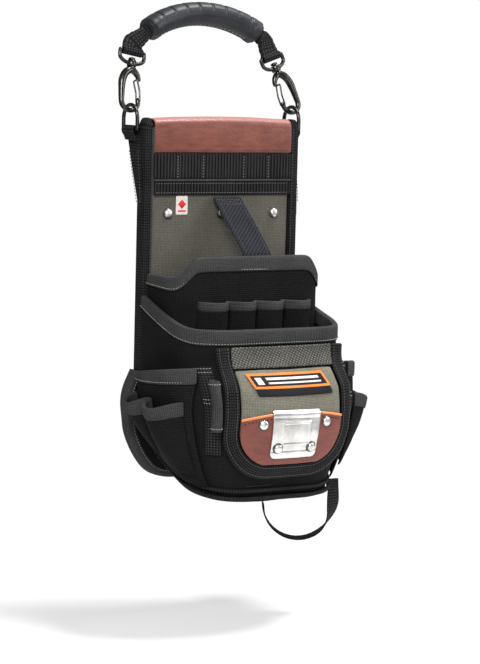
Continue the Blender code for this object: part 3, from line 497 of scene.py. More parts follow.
def on_rows(rows, r, c):
    """Point and normal of a grid of points at a fractional row and column."""
    r, c = max(0.0, min(r, len(rows) - 1.001)), max(0.0, min(c, len(rows[0]) - 1.001))
    i, j = int(r), int(c)
    low = Vector(rows[i][j]).lerp(Vector(rows[i][j + 1]), c - j)
    high = Vector(rows[i + 1][j]).lerp(Vector(rows[i + 1][j + 1]), c - j)
    return low.lerp(high, r - i), normal_at(rows, i, j)


def seam_line(rows, ends, outward, lift, count=60):
    """Seam from one (row, column) fraction to another, raised off the surface on its outward side."""
    (r0, c0), (r1, c1) = ends
    line = []
    for t in steps(count):
        row, column = blend(r0, r1, t) * (len(rows) - 1), blend(c0, c1, t) * (len(rows[0]) - 1)
        point, normal = on_rows(rows, row, column)
        normal = normal if normal.dot(outward) > 0 else -normal
        line.append((point + normal * lift, normal))
    return line


def straight(start, end, normal, count=50):
    """A straight seam between two places given in millimetres, facing one way."""
    return [(Vector([blend(a, b, t) * MM for a, b in zip(start, end)]), normal) for t in steps(count)]


def stitches(name, lines, finish, pitch=3.0, share=0.68, radius=0.34, body="pouch"):
    """Rows of separate stitches, sizes in millimetres: short threads that dip into the cloth at both ends."""
    points, faces, sides = [], [], 6
    for line in lines:
        places = [p for p, _ in line]
        count = max(int(length_of(places) / (pitch * MM)), 1)
        spots = evenly(places, count + 1)
        for i in range(count):
            normal = line[int((i + 0.5) / count * (len(line) - 1))][1]
            start, end = spots[i], spots[i].lerp(spots[i + 1], share)
            along = (end - start).normalized()
            side = along.cross(normal).normalized()
            base = len(points)
            for t, sink, grow in ((0, -0.5, 0.55), (0.2, 0.25, 1), (0.8, 0.25, 1), (1, -0.5, 0.55)):
                middle = start.lerp(end, t) + normal * sink * radius * MM
                points += [middle + (side * math.cos(a) + normal * math.sin(a)) * radius * MM * grow
                           for a in round_angles(sides)]
            for r in range(3):
                for k in range(sides):
                    a, b = base + r * sides + k, base + r * sides + (k + 1) % sides
                    faces.append((a, b, b + sides, a + sides))
            faces.append(tuple(base + k for k in reversed(range(sides))))
            faces.append(tuple(base + 3 * sides + k for k in range(sides)))
    mesh = bpy.data.meshes.new(name)
    mesh.from_pydata(points, [], faces)
    return piece(name, mesh, finish, body=body)


def turned(name, centre, normal, profile, finish, *nodes, body="pouch", count=40):
    """A turned piece: a (radius, height) profile in millimetres spun about the normal."""
    turn = Vector(normal).to_track_quat("Z", "Y").to_matrix()
    rows = [[Vector(centre) + turn @ Vector((r * MM * math.cos(a), r * MM * math.sin(a), h * MM))
             for a in round_angles(count)] for r, h in profile]
    return solid(name, rows, finish, *nodes, body=body)


def rivet(name, centre, normal, r, node_name):
    """Nickel rivet head in a dark washer; r is the head's radius in millimetres."""
    head = [(r * 0.93, -0.3), (r * 0.94, 0.6), (r * 0.90, 1.2)]
    head += [(r * 0.90 * math.cos(a), 1.2 + 1.5 * math.sin(a)) for a in steps(9, 0.12, 1.5)]
    turned(f"{name}_head", centre, normal, head, STEEL, node_name)
    washer = [(r * 0.6, -0.4), (r * 1.14, -0.4), (r * 1.16, 0.1), (r * 1.08, 0.5), (r * 0.97, 0.55)]
    turned(f"{name}_washer", centre, normal, washer, DARK_STEEL)


# ---------------------------------------------------------------- back panel

def panel_rows(low, high, y_at, count=50, across=17):
    rows = []
    for z in steps(count, low, high):
        half = soft_table(PANEL_EDGE, z)
        rows.append([(s * half, y_at(s), z) for s in steps(across, -1, 1)])
    return rows


def panel():
    for name, low, high, finish in (("face", FLARE_TOP * MM, PANEL_TOP, PANEL_OLIVE),
                                    ("flare", 2 * MM, (FLARE_TOP + 0.4) * MM, BLACK)):
        front = panel_rows(low, high, lambda s: 0.3 * MM - 0.7 * MM * (1 - s ** 8))
        fabric(f"panel_{name}", rumple(front, 60 * MM, 0.5 * MM), 5.2 * MM, finish, BEHIND, "back_panel")
    rear = panel_rows(2 * MM, PANEL_TOP, lambda s: 6.3 * MM)
    fabric("panel_rear", rear, 5.4 * MM, BACKING, BEHIND, "rear_panel")
    for side, sign in SIDES:
        x, top = sign * EDGE_TAPE_X, EDGE_TAPE_TOP
        path = [(x, PANEL_MIDDLE, z) for z in steps(50, 97 * MM, top)]
        path += [(x - sign * 4 * MM * (1 - math.cos(a)), PANEL_MIDDLE, top + 8.5 * MM * math.sin(a))
                 for a in steps(10, 0.15, 1.45)]
        bead(f"edge_tape_{side}", path, oval(4.9, 7.6, 20, 0.5), BINDING_BLACK, f"edge_binding_{side}",
             scale=lambda t: 0.72 + 0.28 * smooth((1 - t) * 30))
        lines = [straight((sign * 80.2, y, 100), (sign * 80.2, y, 334), normal, 90)
                 for y, normal in ((-1.7, AHEAD), (13.7, BEHIND))]
        stitches(f"edge_stitch_{side}", lines, THREAD_DARK)


def foot_binding():
    half = [(88, 100), (95.4, 84), (97.7, 71), (96.1, 56), (93.4, 40.6), (84.7, 22.2), (72.4, 7), (56.4, 0.6),
            (30, -0.6)]
    points = [(u * MM, PANEL_MIDDLE, v * MM) for u, v in half]
    path = curve_through(points + [(-u, y, v) for u, y, v in reversed(points)], 160)
    bead("foot_tape", path, oval(4.8, 7.2, 18, 0.55), RIM_GREY, "lower_binding")
    centre = Vector((0, PANEL_MIDDLE, 90 * MM))
    inward = [p + (centre - p).normalized() * 1.6 * MM for p in path]
    lines = [[(p + normal * 7.0 * MM, normal) for p in inward] for normal in (AHEAD, BEHIND)]
    stitches("foot_stitch", lines, THREAD_GREY)


def cap():
    front, back, inner = -1.4 * MM, PANEL_BACK + 1.4 * MM, PANEL_TOP + 0.4 * MM
    middle, half_gap = (front + back) / 2, (back - front) / 2
    profile = [(front - 0.6 * MM * math.sin(math.pi * t), blend(CAP_LOW, inner, t), t) for t in steps(12)]
    profile += [(middle - half_gap * math.cos(a), inner + 5.4 * MM * math.sin(a), 1)
                for a in steps(15, 0.2, 2.94)]
    profile += [(back, blend(inner, CAP_LOW, t), 1 - t) for t in steps(8)]
    rows = []
    for y, z, rise in profile:
        row = []
        for s in steps(41, -1, 1):
            crown = 2.2 * MM * (1 - s * s) * smooth(rise)
            row.append((s * (PANEL_HALF - 0.2 * MM), y, z + crown))
        rows.append(row)

    def out_of_fold(point):
        local = point - PLACE
        return Vector((0, local.y - PANEL_MIDDLE, local.z - 320 * MM))

    fabric("cap_hide", rumple(rows, 34 * MM, 0.35 * MM, 3.0), 1.6 * MM, LEATHER, out_of_fold, "top_cap")
    seam = CAP_LOW / MM + 2.6
    for y, normal, name in ((-3.3, AHEAD, "front"), (15.3, BEHIND, "rear")):
        line = straight((-75, y, seam), (75, y, seam), normal)
        stitches(f"cap_stitch_{name}", [line], THREAD_DARK, 3.4)


def panel_trim():
    half = PANEL_HALF - 0.4 * MM
    tacks = [-half / MM, *TACK_LINES, half / MM]

    def swell(x):
        """How far the webbing stands off the panel between two lines of tacks."""
        for a, b in zip(tacks, tacks[1:]):
            if a <= x / MM <= b:
                return 0.9 * MM * abs(math.sin(math.pi * (x / MM - a) / (b - a))) ** 0.6
        return 0.0

    rows = [[(x, -0.5 * MM - swell(x), z) for x in steps(105, -half, half)]
            for z in steps(8, DAISY_LOW + 0.6 * MM, CAP_LOW - 0.2 * MM)]
    fabric("daisy_band", rows, 1.9 * MM, RIBBED_WEB, AHEAD, "daisy_webbing")
    low, high = DAISY_LOW / MM + 2.5, CAP_LOW / MM - 2
    lines = [straight((x, -2.55, low), (x, -2.55, high), AHEAD, 12) for x in TACK_LINES]
    stitches("daisy_tacks", lines, THREAD_MID, 2.6, share=0.55, radius=0.5)

    rows = [[(x, -0.5 * MM - 0.4 * MM * math.sin(math.pi * t), blend(TRIM_LOW, DAISY_LOW - 0.4 * MM, t))
             for x in steps(60, -half, half)] for t in steps(9)]
    fabric("trim_band", rows, 2.1 * MM, RIBBED_WEB, AHEAD, "trim_webbing")
    path = [(x, -2.9 * MM, DAISY_LOW) for x in steps(40, -half, half)]
    bead("trim_cord", path, oval(1.0, 0.9, 10), RIM_GREY, slot="black_webbing")
    lines = [straight((-75, -2.85, z), (75, -2.85, z), AHEAD) for z in (271.4, 280.4)]
    stitches("trim_stitch", lines, THREAD_MID, 2.6, share=0.55)


def tag_and_rivets():
    rows = [[(x * MM, -0.4 * MM, z * MM) for x in steps(7, -52, -38.5)] for z in steps(9, 250, 268.8)]
    fabric("tag_cloth", rows, 0.7 * MM, TAG_WHITE, AHEAD, "side_tag")
    disc = [(4.5, -0.3), (4.5, 0.0), (4.2, 0.35), (0.2, 0.35)]
    turned("tag_mark", mm(-45.2, -1.1, 260.5), AHEAD, disc, TAG_RED, count=4)
    bar = [[(x * MM, -1.1 * MM, z * MM) for x in steps(5, -49.5, -41)] for z in (253.2, 254.7)]
    fabric("tag_bar", bar, 0.2 * MM, TAG_RED, AHEAD, soft=False)
    for side, x in (("left", -RIVET_SPREAD), ("middle", 0), ("right", RIVET_SPREAD)):
        rivet(f"panel_{side}", (x, -0.7 * MM, RIVET_HEIGHT), AHEAD, 4.6, f"panel_rivet_{side}")


def belt_loop():
    near, far = PANEL_BACK / MM + 0.6, PANEL_BACK / MM + 9
    profile = ((near, 236), (near, 250), (near + 2.5, 253), (far - 1.5, 257), (far, 262), (far, 279),
               (far, 296), (far - 1.5, 301), (near + 2.5, 304.5), (near, 305.5))
    path = curve_through([mm(0, y, z) for y, z in profile], 46)
    rows = [[(x, p.y, p.z) for x in steps(19, -66 * MM, 66 * MM)] for p in path]
    fabric("belt_webbing", rows, 2.2 * MM, RIBBED_WEB, BEHIND, "belt_loop")
    y = PANEL_BACK / MM + 3.0
    lines = [straight((-63, y, z), (63, y, z), BEHIND) for z in (238.5, 241.5, 247)]
    lines += [straight((x, y, 238.5), (x, y, 247), BEHIND, 10) for x in (-63, -31, 0, 31, 63)]
    stitches("belt_stitch", lines, THREAD_DARK)


def blown_cushion():
    """Mesh of a closed cushion, blown up by cloth simulation between its sewn channels."""
    low = PANEL_BACK + 0.4 * MM
    rows = []
    for z in steps(PAD_ROWS, PAD_FOOT, PAD_TOP):
        near_foot = smooth((PAD_FOOT + PAD_ROUND - z) / PAD_ROUND)
        near_top = smooth((z - PAD_TOP + PAD_ROUND) / PAD_ROUND)
        inset = PAD_INSET * (near_foot + near_top)
        rows.append([(s * (PAD_HALF - inset), PAD_FACE, z) for s in steps(PAD_COLUMNS, -1, 1)])
    mesh = grid("hip_cushion", rows)
    mesh.transform(Matrix.Translation(PLACE))
    obj = bpy.data.objects.new("hip_cushion", mesh)
    bpy.context.scene.collection.objects.link(obj)
    thickness = obj.modifiers.new("body", "SOLIDIFY")
    thickness.thickness = PAD_FACE - low
    thickness.offset = -1.0 if mesh.polygons[0].normal.y > 0 else 1.0
    sewn = [r * PAD_COLUMNS + c for r in range(PAD_ROWS) for c in range(PAD_COLUMNS)
            if c % CHANNEL_COLUMNS == 0 or r % CHANNEL_ROWS == 0]
    obj.vertex_groups.new(name="sewn").add(sewn, 1.0, "REPLACE")
    cloth = obj.modifiers.new("blown", "CLOTH")
    cloth.settings.vertex_group_mass = "sewn"
    cloth.settings.use_pressure = True
    cloth.settings.uniform_pressure_force = 4.0
    cloth.settings.effector_weights.gravity = 0.0
    cloth.settings.shrink_min = -0.04
    cloth.collision_settings.use_collision = False
    for frame_number in range(1, 21):
        bpy.context.scene.frame_set(frame_number)
    graph = bpy.context.evaluated_depsgraph_get()
    made = bpy.data.meshes.new_from_object(obj.evaluated_get(graph))
    bpy.data.objects.remove(obj)
    for vertex in made.vertices:
        vertex.co.y = max(PLACE.y + low, min(vertex.co.y, PLACE.y + PAD_FACE + PAD_PUFF))
    made.transform(Matrix.Translation(-PLACE))
    made.name = "hip_cushion"
    return made


def hip_pad():
    """Quilted foam pad with a piped edge."""
    cushion = piece("hip_cushion", blown_cushion(), BACKING, "hip_pad")
    subdivide(cushion)
    corners = [(-PAD_HALF, PAD_FOOT + PAD_ROUND), (-PAD_HALF, PAD_TOP - PAD_ROUND),
               (PAD_INSET - PAD_HALF, PAD_TOP)]
    corners += [(-x, z) for x, z in reversed(corners)]
    corners += [(PAD_HALF - PAD_INSET, PAD_FOOT), (PAD_INSET - PAD_HALF, PAD_FOOT), corners[0]]
    path = [p + Vector((0, 15.2 * MM, 0)) for p in curve_through([(x, 0, z) for x, z in corners], 200)]
    bead("hip_piping", path, oval(1.8, 2.6, 12), BINDING_BLACK)
    y = PAD_FACE / MM + 0.2
    lines = [straight((x, y, 62), (x, y, 218), BEHIND) for x in (-36, 0, 36)]
    lines += [straight((-68, y, z), (68, y, z), BEHIND) for z in (99, 140, 181)]
    stitches("hip_stitch", lines, THREAD_DARK, 3.2)


def centre_strap():
    points = ((3, -3.4, 267), (3.5, -6.5, 263.5), (5.5, -30, 240.5), (7.6, -51, 218), (8, -53.9, 211),
              (8, -54.1, 198))
    half = 16 * MM
    rows = [[(p.x + s * half, p.y - 0.6 * MM * (1 - s * s), p.z) for s in steps(9, -1, 1)]
            for p in curve_through([mm(*p) for p in points], 50)]
    fabric("centre_web", rows, 1.5 * MM, CROSS_WEB, UP, "centre_strap")
    outward = Vector((0, -0.6, 0.7))
    ends = [((0.03, 0.12), (0.96, 0.12)), ((0.03, 0.88), (0.96, 0.88)), ((0.05, 0.12), (0.05, 0.88)),
            ((0.12, 0.12), (0.12, 0.88)), ((0.05, 0.12), (0.12, 0.88)), ((0.05, 0.88), (0.12, 0.12))]
    stitches("centre_stitch", [seam_line(rows, e, outward, 1.6 * MM) for e in ends], THREAD_DARK, 2.8)


# ---------------------------------------------------------------- pocket body

def taper(z):
    return clamp(1 - z / TAPER_FROM) ** 1.8


def body_half(z):
    return BODY_HALF - TAPER_WIDTH * taper(z)


def body_depth(z):
    return BODY_DEPTH - TAPER_DEPTH * taper(z) - MOUTH_SET_BACK * smooth((z - 70 * MM) / (60 * MM))


def body_side(y, z):
    past = max(-(body_depth(z) - BODY_CORNER) - y, 0.0)
    return body_half(z) - BODY_CORNER + round_off(BODY_CORNER, past)


def seam_height(y):
    return SEAM_FRONT + SEAM_RISE * clamp(1 + y / (130 * MM)) ** 2.5


def rim_height(y):
    return RIM_FRONT + RIM_RISE * clamp(1 + y / (88 * MM)) ** 1.3


def u_plan(half, depth, corner):
    """Plan outline from the left back corner round the front to the right back corner."""
    side_end = corner - depth
    left = [(-half, blend(BODY_BACK, side_end, i / SIDE_STEPS)) for i in range(SIDE_STEPS + 1)]
    left += [(corner - half - corner * math.cos(a), side_end - corner * math.sin(a))
             for a in (math.pi / 2 * i / CORNER_STEPS for i in range(1, CORNER_STEPS + 1))]
    flat = [(blend(corner - half, half - corner, i / FRONT_STEPS), -depth) for i in range(1, FRONT_STEPS)]
    return left + flat + [(-x, y) for x, y in reversed(left)]


def u_wall(half_at, depth_at, corner, top_at, bottom_at, levels=34):
    """Rows of points, bottom to top, of a wall that follows the U plan while its size changes with height."""
    nominal = u_plan(half_at(1.0), depth_at(1.0), corner)
    rows = []
    for level in range(levels + 1):
        row = []
        for index, (x, y) in enumerate(nominal):
            z = blend(bottom_at(y), top_at(x, y), level / levels)
            px, py = u_plan(half_at(z), depth_at(z), corner)[index]
            row.append((px, py, z))
        rows.append(row)
    return rows


def local_out(point):
    """Level direction from the pouch's middle line to a point."""
    return Vector((point.x, point.y - BODY_MIDDLE, 0)).normalized()


def inwards(point):
    """Level direction from a point in the row frame to the pouch's middle line."""
    return -local_out(point - PLACE)


def band_over(name, rows, drop, span, *nodes, thick=1.2 * MM, outward=local_out):
    """Binding folded over the top row of a wall, following the wall's own lean, with its stitches."""
    count = len(rows[0])
    height = length_of([row[count // 2] for row in rows])
    low = (len(rows) - 1) * (1 - drop / height)
    inner, outer = span
    section = [(inner, 0.0), (inner, 0.5), (inner, 1.0)]
    section += [(blend(inner, outer, 0.5 - 0.5 * math.cos(a)), 1.0 + 1.4 * MM * math.sin(a) / drop)
                for a in steps(7, 0.3, 2.84)]
    section += [(outer, 1.0), (outer, 0.5), (outer, 0.0)]
    made = []
    for offset, t in section:
        row = []
        for c in range(count):
            point, normal = on_rows(rows, blend(low, len(rows) - 1.001, min(t, 1.0)), c)
            normal = Vector((normal.x, normal.y, 0)).normalized()
            if normal.dot(outward(point)) < 0:
                normal = -normal
            row.append(point + normal * offset + UP * max(t - 1.0, 0.0) * drop)
        made.append(row)
    level = sum(p[2] for p in rows[-1]) / count
    centre = PLACE + Vector((0, BODY_MIDDLE, level - 12 * MM))
    fabric(name, made, thick, RIM_GREY, lambda p: p - centre, *nodes)
    line = [(p + outward(p) * (thick + 0.05 * MM) + UP * 2.2 * MM, outward(p)) for p in made[-1]]
    stitches(f"{name}_stitch", [line], THREAD_GREY, 2.8, share=0.6)


def body():
    rows = u_wall(body_half, body_depth, BODY_CORNER, lambda x, y: rim_height(y),
                  lambda y: seam_height(y) + 0.9 * MM)
    wall = rumple(rows, 26 * MM, 1.1 * MM, 1.0)
    wall[-4:] = rows[-4:]
    fabric("body_cloth", wall, BODY_WALL - 0.4 * MM, BLACK, inwards, "body_wall")
    band_over("mouth_tape", rows, 13.5 * MM, (-BODY_WALL - 0.6 * MM, 0.5 * MM), "body_rim")

    lower = [Vector(p) for p in rows[0]]
    left = lower[:SIDE_STEPS + CORNER_STEPS + 1]
    left[0] = left[0].lerp(left[1], 0.3)
    base = []
    for p in left:
        sag = BELLY * max(math.sin(math.pi * clamp(p.y / left[-1].y)), 0.0)
        base.append([(blend(p.x, -p.x, t), p.y, p.z - 0.9 * MM - sag * (1 - (2 * t - 1) ** 2))
                     for t in steps(25)])
    fabric("base_cloth", rumple(base, 30 * MM, 0.8 * MM, 4.0), 4.4 * MM, BLACK, -UP, "base_panel")
    for name, rise, reach, nodes in (("lower", -1.9, 2.6, ["base_piping"]), ("upper", 5.2, 1.6, [])):
        path = [p + local_out(p) * reach * MM + UP * rise * MM for p in lower]
        bead(f"seam_cord_{name}", path, oval(2.0, 2.0, 12), BINDING_BLACK, *nodes, up=UP)
    line = [(p + local_out(p) * 0.4 * MM + UP * 9.5 * MM, local_out(p)) for p in lower]
    stitches("seam_stitch", [line], THREAD_DARK)


def divider():
    rows = u_wall(lambda z: DIVIDER_HALF - TAPER_WIDTH * taper(z), lambda z: DIVIDER_DEPTH, DIVIDER_CORNER,
                  lambda x, y: 192 * MM + 20 * MM * smooth((DIVIDER_HALF - abs(x)) / (22 * MM)),
                  lambda y: seam_height(y) + 6 * MM, levels=24)
    fabric("divider_cloth", rows, DIVIDER_WALL - 0.2 * MM, BLACK, inwards, "divider")
    band_over("divider_tape", rows, 12.5 * MM, (-DIVIDER_WALL - 0.6 * MM, 0.6 * MM), "divider_rim")


def sleeves():
    near = -(DIVIDER_DEPTH + 1.8 * MM)
    rows = []
    for z in steps(14, SLEEVE_LOW, SLEEVE_TOP):
        row = []
        for u in steps(SLEEVES * 16 + 1):
            depth = blend(7, 17, (z - SLEEVE_LOW) / (SLEEVE_TOP - SLEEVE_LOW)) * MM
            bulge = abs(math.sin(math.pi * SLEEVES * u)) ** 0.7 * depth
            row.append((blend(-SLEEVE_HALF, SLEEVE_HALF, u), near - bulge, z))
        rows.append(row)
    fabric("sleeve_cloth", rows, 1.4 * MM, BLACK, AHEAD, "inner_sleeves")
    path = [Vector(p) + Vector((0, -0.7 * MM, 0)) for p in rows[-1]]
    bead("sleeve_tape", path, oval(1.5, 4.5, 12, 0.6), RIM_GREY, up=UP)


# ---------------------------------------------------------------- side pockets

def share_of(y, y_range):
    return clamp((y - y_range[0]) / (y_range[1] - y_range[0]))


def pocket_swell(t):
    return 0.14 + 0.86 * math.sin(clamp(t) * math.pi / 2)


def pocket_top(y):
    return 100 * MM - 0.14 * (y - POCKET_Y[0])


def pocket_reach(y, z):
    bottom = seam_height(y) + POCKET_FOOT
    swell = pocket_swell((z - bottom) / (pocket_top(y) - bottom))
    bulge = POCKET_BULGE * math.sin(math.pi * share_of(y, POCKET_Y)) ** 0.5 * swell
    return body_side(y, min(z, 96 * MM)) + 2.4 * MM + bulge


def bowed(sign, reach, y_range, foot, top_at, columns):
    """Rows of a pocket wall that bows outward between its two sewn edges, from foot above the seam."""
    rows = []
    for level in steps(18):
        row = []
        for t in steps(columns):
            y = blend(y_range[0], y_range[1], 0.5 - 0.5 * math.cos(math.pi * t))
            z = blend(seam_height(y) + foot, top_at(y), level)
            row.append((sign * reach(y, z), y, z))
        rows.append(row)
    return rows


def pocket_cloth(name, rows, crease, seed, thick, out, node_name):
    """Creased wall of a pocket; its top rows stay smooth for the binding."""
    soft = rumple(rows, *crease, seed)
    soft[-4:] = rows[-4:]
    fabric(name, soft, thick, BLACK, out, node_name)


def side_pockets(side, sign):
    out = Vector((sign, 0, 0))
    rows = bowed(sign, pocket_reach, POCKET_Y, POCKET_FOOT, pocket_top, 31)
    pocket_cloth(f"pocket_cloth_{side}", rows, (18 * MM, 0.7 * MM), 5.0 + sign, POCKET_WALL, out,
                 f"side_pocket_{side}")
    band_over(f"pocket_tape_{side}", rows, 11 * MM, (-0.8 * MM, POCKET_WALL + 0.4 * MM),
              f"side_pocket_rim_{side}", outward=lambda p: out)

    for name, y_range in TUBES:
        def tube_reach(y, z):
            bottom = seam_height(y) + TUBE_FOOT
            swell = pocket_swell((z - bottom) / (TUBE_RIM - bottom))
            bulge = TUBE_BULGE * math.sin(math.pi * share_of(y, y_range)) ** 0.5 * swell
            return pocket_reach(y, z) + POCKET_WALL + 1.2 * MM + bulge

        def tube_top(y):
            return TUBE_RIM - TUBE_DIP * math.sin(math.pi * share_of(y, y_range))

        rows = bowed(sign, tube_reach, y_range, TUBE_FOOT, tube_top, 25)
        pocket_cloth(f"tube_cloth_{side}_{name}", rows, (15 * MM, 0.6 * MM), 8.0 + sign, 1.7 * MM, out,
                     f"tube_pocket_{side}_{name}")
        band_over(f"tube_tape_{side}_{name}", rows, 11 * MM, (-0.7 * MM, 2.0 * MM), thick=1.0 * MM,
                  outward=lambda p: out)


def corner_pockets():
    for side, sign in SIDES:
        rows = []
        for t in steps(18):
            z = blend(34 * MM, 116 * MM, t)
            half, depth = body_half(z), body_depth(z)
            row = []
            for u in steps(13):
                a = math.radians(blend(35, 54, u))
                radius = BODY_CORNER + 0.9 * MM + 3.5 * MM * math.sin(math.pi * u) * pocket_swell(t)
                row.append((sign * (half - BODY_CORNER + radius * math.cos(a)),
                            BODY_CORNER - depth - radius * math.sin(a), z))
            rows.append(row)
        out = Vector((sign * 0.7, -0.7, 0))
        fabric(f"corner_web_{side}", rows, 1.5 * MM, WEBBING, out, f"corner_pocket_{side}")
        ends = [((r, 0.06), (r, 0.94)) for r in (0.93, 0.97, 0.60, 0.64)]
        stitches(f"corner_stitch_{side}", [seam_line(rows, e, out, 1.6 * MM) for e in ends], THREAD_GREY, 2.6)


# ---------------------------------------------------------------- front shield

def shield_at(x, z, lift=0.0):
    crown = read_table(SHIELD_CROWN, z) / MM * x * x
    return Vector((x, soft_table(SHIELD_Y, z, 3 * MM) + crown - lift, z))


def shield_normal(x, z):
    across = shield_at(x + MM, z) - shield_at(x - MM, z)
    rise = shield_at(x, z + MM) - shield_at(x, z - MM)
    return across.cross(rise).normalized()


def on_shield(x, z, lift):
    """A place for a stitch: a point above the shield's surface and the surface's normal."""
    return shield_at(x, z, lift), shield_normal(x, z)


def inner_half(z):
    """Half width of the shield inside its binding."""
    line = read_table(SHIELD_HALF, z) - SHIELD_EDGE
    low, corner = SHIELD_LOW + SHIELD_EDGE, SHIELD_CORNER - SHIELD_EDGE
    if z >= low + corner:
        return line
    return line - corner + round_off(corner, corner - (z - low))


def shield_rows(low, high_at, lift, inset):
    rows = []
    for level in steps(44):
        row = []
        for s in steps(37, -1, 1):
            z = blend(low, high_at(s * 0.9 * (SHIELD_LINE - SHIELD_EDGE)), level ** 1.35)
            row.append(shield_at(s * (inner_half(z) - inset), z, lift))
        rows.append(row)
    return rows


def patch_top(x):
    return (66 + 8.5 * math.cos(math.pi * x / (120 * MM))) * MM


def shield_line():
    """Middle line of the binding, from the top of the left side round the foot to the top right."""
    line = [(read_table(SHIELD_HALF, z * MM), z * MM) for z in (134, 124, 114, 109, 104, 99, 94, 85, 75, 67)]
    turn = SHIELD_LOW + SHIELD_CORNER
    line += [(SHIELD_LINE - SHIELD_CORNER * (1 - math.cos(a)), turn - SHIELD_CORNER * math.sin(a))
             for a in steps(12, 0.0, math.pi / 2)]
    line += [(-x, z) for x, z in reversed(line)]
    return curve_through([Vector((x, 0, z)) for x, z in line], 170)


def leather_patch(low):
    hide = rumple(shield_rows(low, patch_top, 0.7 * MM, 0.6 * MM), 30 * MM, 0.35 * MM, 6.0)
    fabric("patch_hide", hide, 1.7 * MM, PATCH_LEATHER, AHEAD, "leather_patch")
    edge, line = [], []
    for s in steps(80, -1, 1):
        top = patch_top(s * PATCH_REACH)
        edge.append(shield_at(s * (inner_half(top) - 0.8 * MM), top + 0.2 * MM, 1.6 * MM))
        z = top - 3.2 * MM
        line.append(on_shield(s * (inner_half(z) - 3 * MM), z, 2.5 * MM))
    bead("patch_edge", edge, oval(1.3, 1.0, 12), ORANGE, up=AHEAD)
    stitches("patch_stitch", [line], THREAD_RED, 3.6, share=0.62, radius=0.42)


def shield_binding():
    line = shield_line()
    rows, seams = [], {-0.58: [], 0.58: []}
    for i, p in enumerate(line):
        before, after = line[max(i - 1, 0)], line[min(i + 1, len(line) - 1)]
        side = Vector((before.z - after.z, 0, after.x - before.x)).normalized()

        def across(s, lift=0.0):
            rise = BINDING_CROWN * math.sqrt(1 - 0.92 * s * s) + lift
            return shield_at(p.x + side.x * s * SHIELD_EDGE, p.z + side.z * s * SHIELD_EDGE, rise)

        rows.append([across(s) for s in steps(11, -1, 1)])
        for s, seam in seams.items():
            spot = across(s, 0.1 * MM)
            seam.append((spot, shield_normal(spot.x, spot.z)))
    fabric("shield_tape", rows, 4.8 * MM, BINDING_BLACK, BEHIND, "shield_binding")
    stitches("shield_stitch", list(seams.values()), THREAD_DARK, radius=0.42)


def shield():
    low = SHIELD_LOW + SHIELD_EDGE + 1.3 * MM
    face = shield_rows(low, lambda x: 113.5 * MM, 0.2 * MM, 1.2 * MM)
    fabric("shield_cloth", rumple(face, 22 * MM, 0.8 * MM, 2.0), 3.6 * MM, OLIVE, BEHIND, "shield_panel")
    leather_patch(low - 0.4 * MM)
    shield_binding()
    band = [[shield_at(x, z, 0.3 * MM) for x in steps(45, -55.8 * MM, 55.8 * MM)]
            for z in steps(14, 114.2 * MM, 134.2 * MM)]
    fabric("front_band", band, 1.5 * MM, BAND_OLIVE, AHEAD, "front_webbing")
    lines = [[on_shield(x, z * MM, 1.9 * MM) for x in steps(90, -53 * MM, 53 * MM)] for z in (116.0, 132.6)]
    stitches("front_band_stitch", lines, THREAD_DARK, 2.8)


def label():
    """Slanted woven label with an orange frame; plain strips stand in for its mark and words."""
    def slanted(x_low, x_high, z_low, z_high, lift):
        rows = []
        for z in steps(9, z_low, z_high):
            shift = -7 * (z - 90) / 20
            rows.append([shield_at((x + shift) * MM, z * MM, lift * MM) for x in steps(25, x_low, x_high)])
        return rows

    fabric("label_cloth", slanted(LABEL_LEFT, LABEL_RIGHT, 90, 110, 1.0), 0.8 * MM, LABEL_BLACK, AHEAD,
           "front_label")
    for name, left, right, low, high, finish in (
            ("foot", LABEL_LEFT, LABEL_RIGHT, 97.0, 99.0, LABEL_ORANGE),
            ("head", LABEL_LEFT, LABEL_RIGHT, 108.2, 110.2, LABEL_ORANGE),
            ("left", LABEL_LEFT, -36.6, 97.0, 110.2, LABEL_ORANGE),
            ("right", 42.6, LABEL_RIGHT, 97.0, 110.2, LABEL_ORANGE),
            ("mark", -33, -26.5, 100.6, 106.6, TAG_WHITE),
            ("line_upper", -22, 37, 104.4, 106.4, TAG_WHITE),
            ("line_lower", -22, 37, 101.0, 102.4, TAG_WHITE)):
        fabric(f"label_{name}", slanted(left, right, low, high, 1.9), 0.35 * MM, finish, AHEAD,
               slot="woven_label", soft=False)


def plate_lift(x, z):
    """Height of the pressed plate off the shield: a raised frame, two creases and a curled top."""
    ring = max(abs(x) / (15.5 * MM), abs(z - 55 * MM) / (10.5 * MM))
    raised = 0.7 * MM * (smooth((ring - 0.86) / 0.05) - smooth((ring - 1.0) / 0.05))
    crease = sum(0.5 * MM * math.exp(-((z - c * MM) / (0.9 * MM)) ** 2) for c in (38.5, 70.5))
    curl = 2.6 * MM * smooth((z - 73.5 * MM) / (3 * MM))
    return 2.8 * MM + raised - crease - curl


def clip_plate():
    rows = []
    for z in steps(70, PLATE_LOW, PLATE_HIGH):
        half = blend(25, 26, (z - PLATE_LOW) / (PLATE_HIGH - PLATE_LOW)) * MM
        if z < PLATE_LOW + PLATE_CORNER:
            half -= PLATE_CORNER - round_off(PLATE_CORNER, PLATE_CORNER - (z - PLATE_LOW))
        rows.append([shield_at(s * half, z, plate_lift(s * half, z)) for s in steps(61, -1, 1)])
    fabric("plate_sheet", rows, 1.2 * MM, STEEL, AHEAD, "clip_plate", soft=False)
    for side, sign in SIDES:
        for name, x, z, lift, radius in (("plate", 18, 42, 4.2, 4.6), ("patch", 34.5, 64.5, 2.6, 4.8)):
            x, z = sign * x * MM, z * MM
            normal = shield_normal(x, z)
            centre = shield_at(x, z) + normal * lift * MM
            rivet(f"{name}_{side}", centre, normal, radius, f"{name}_rivet_{side}")


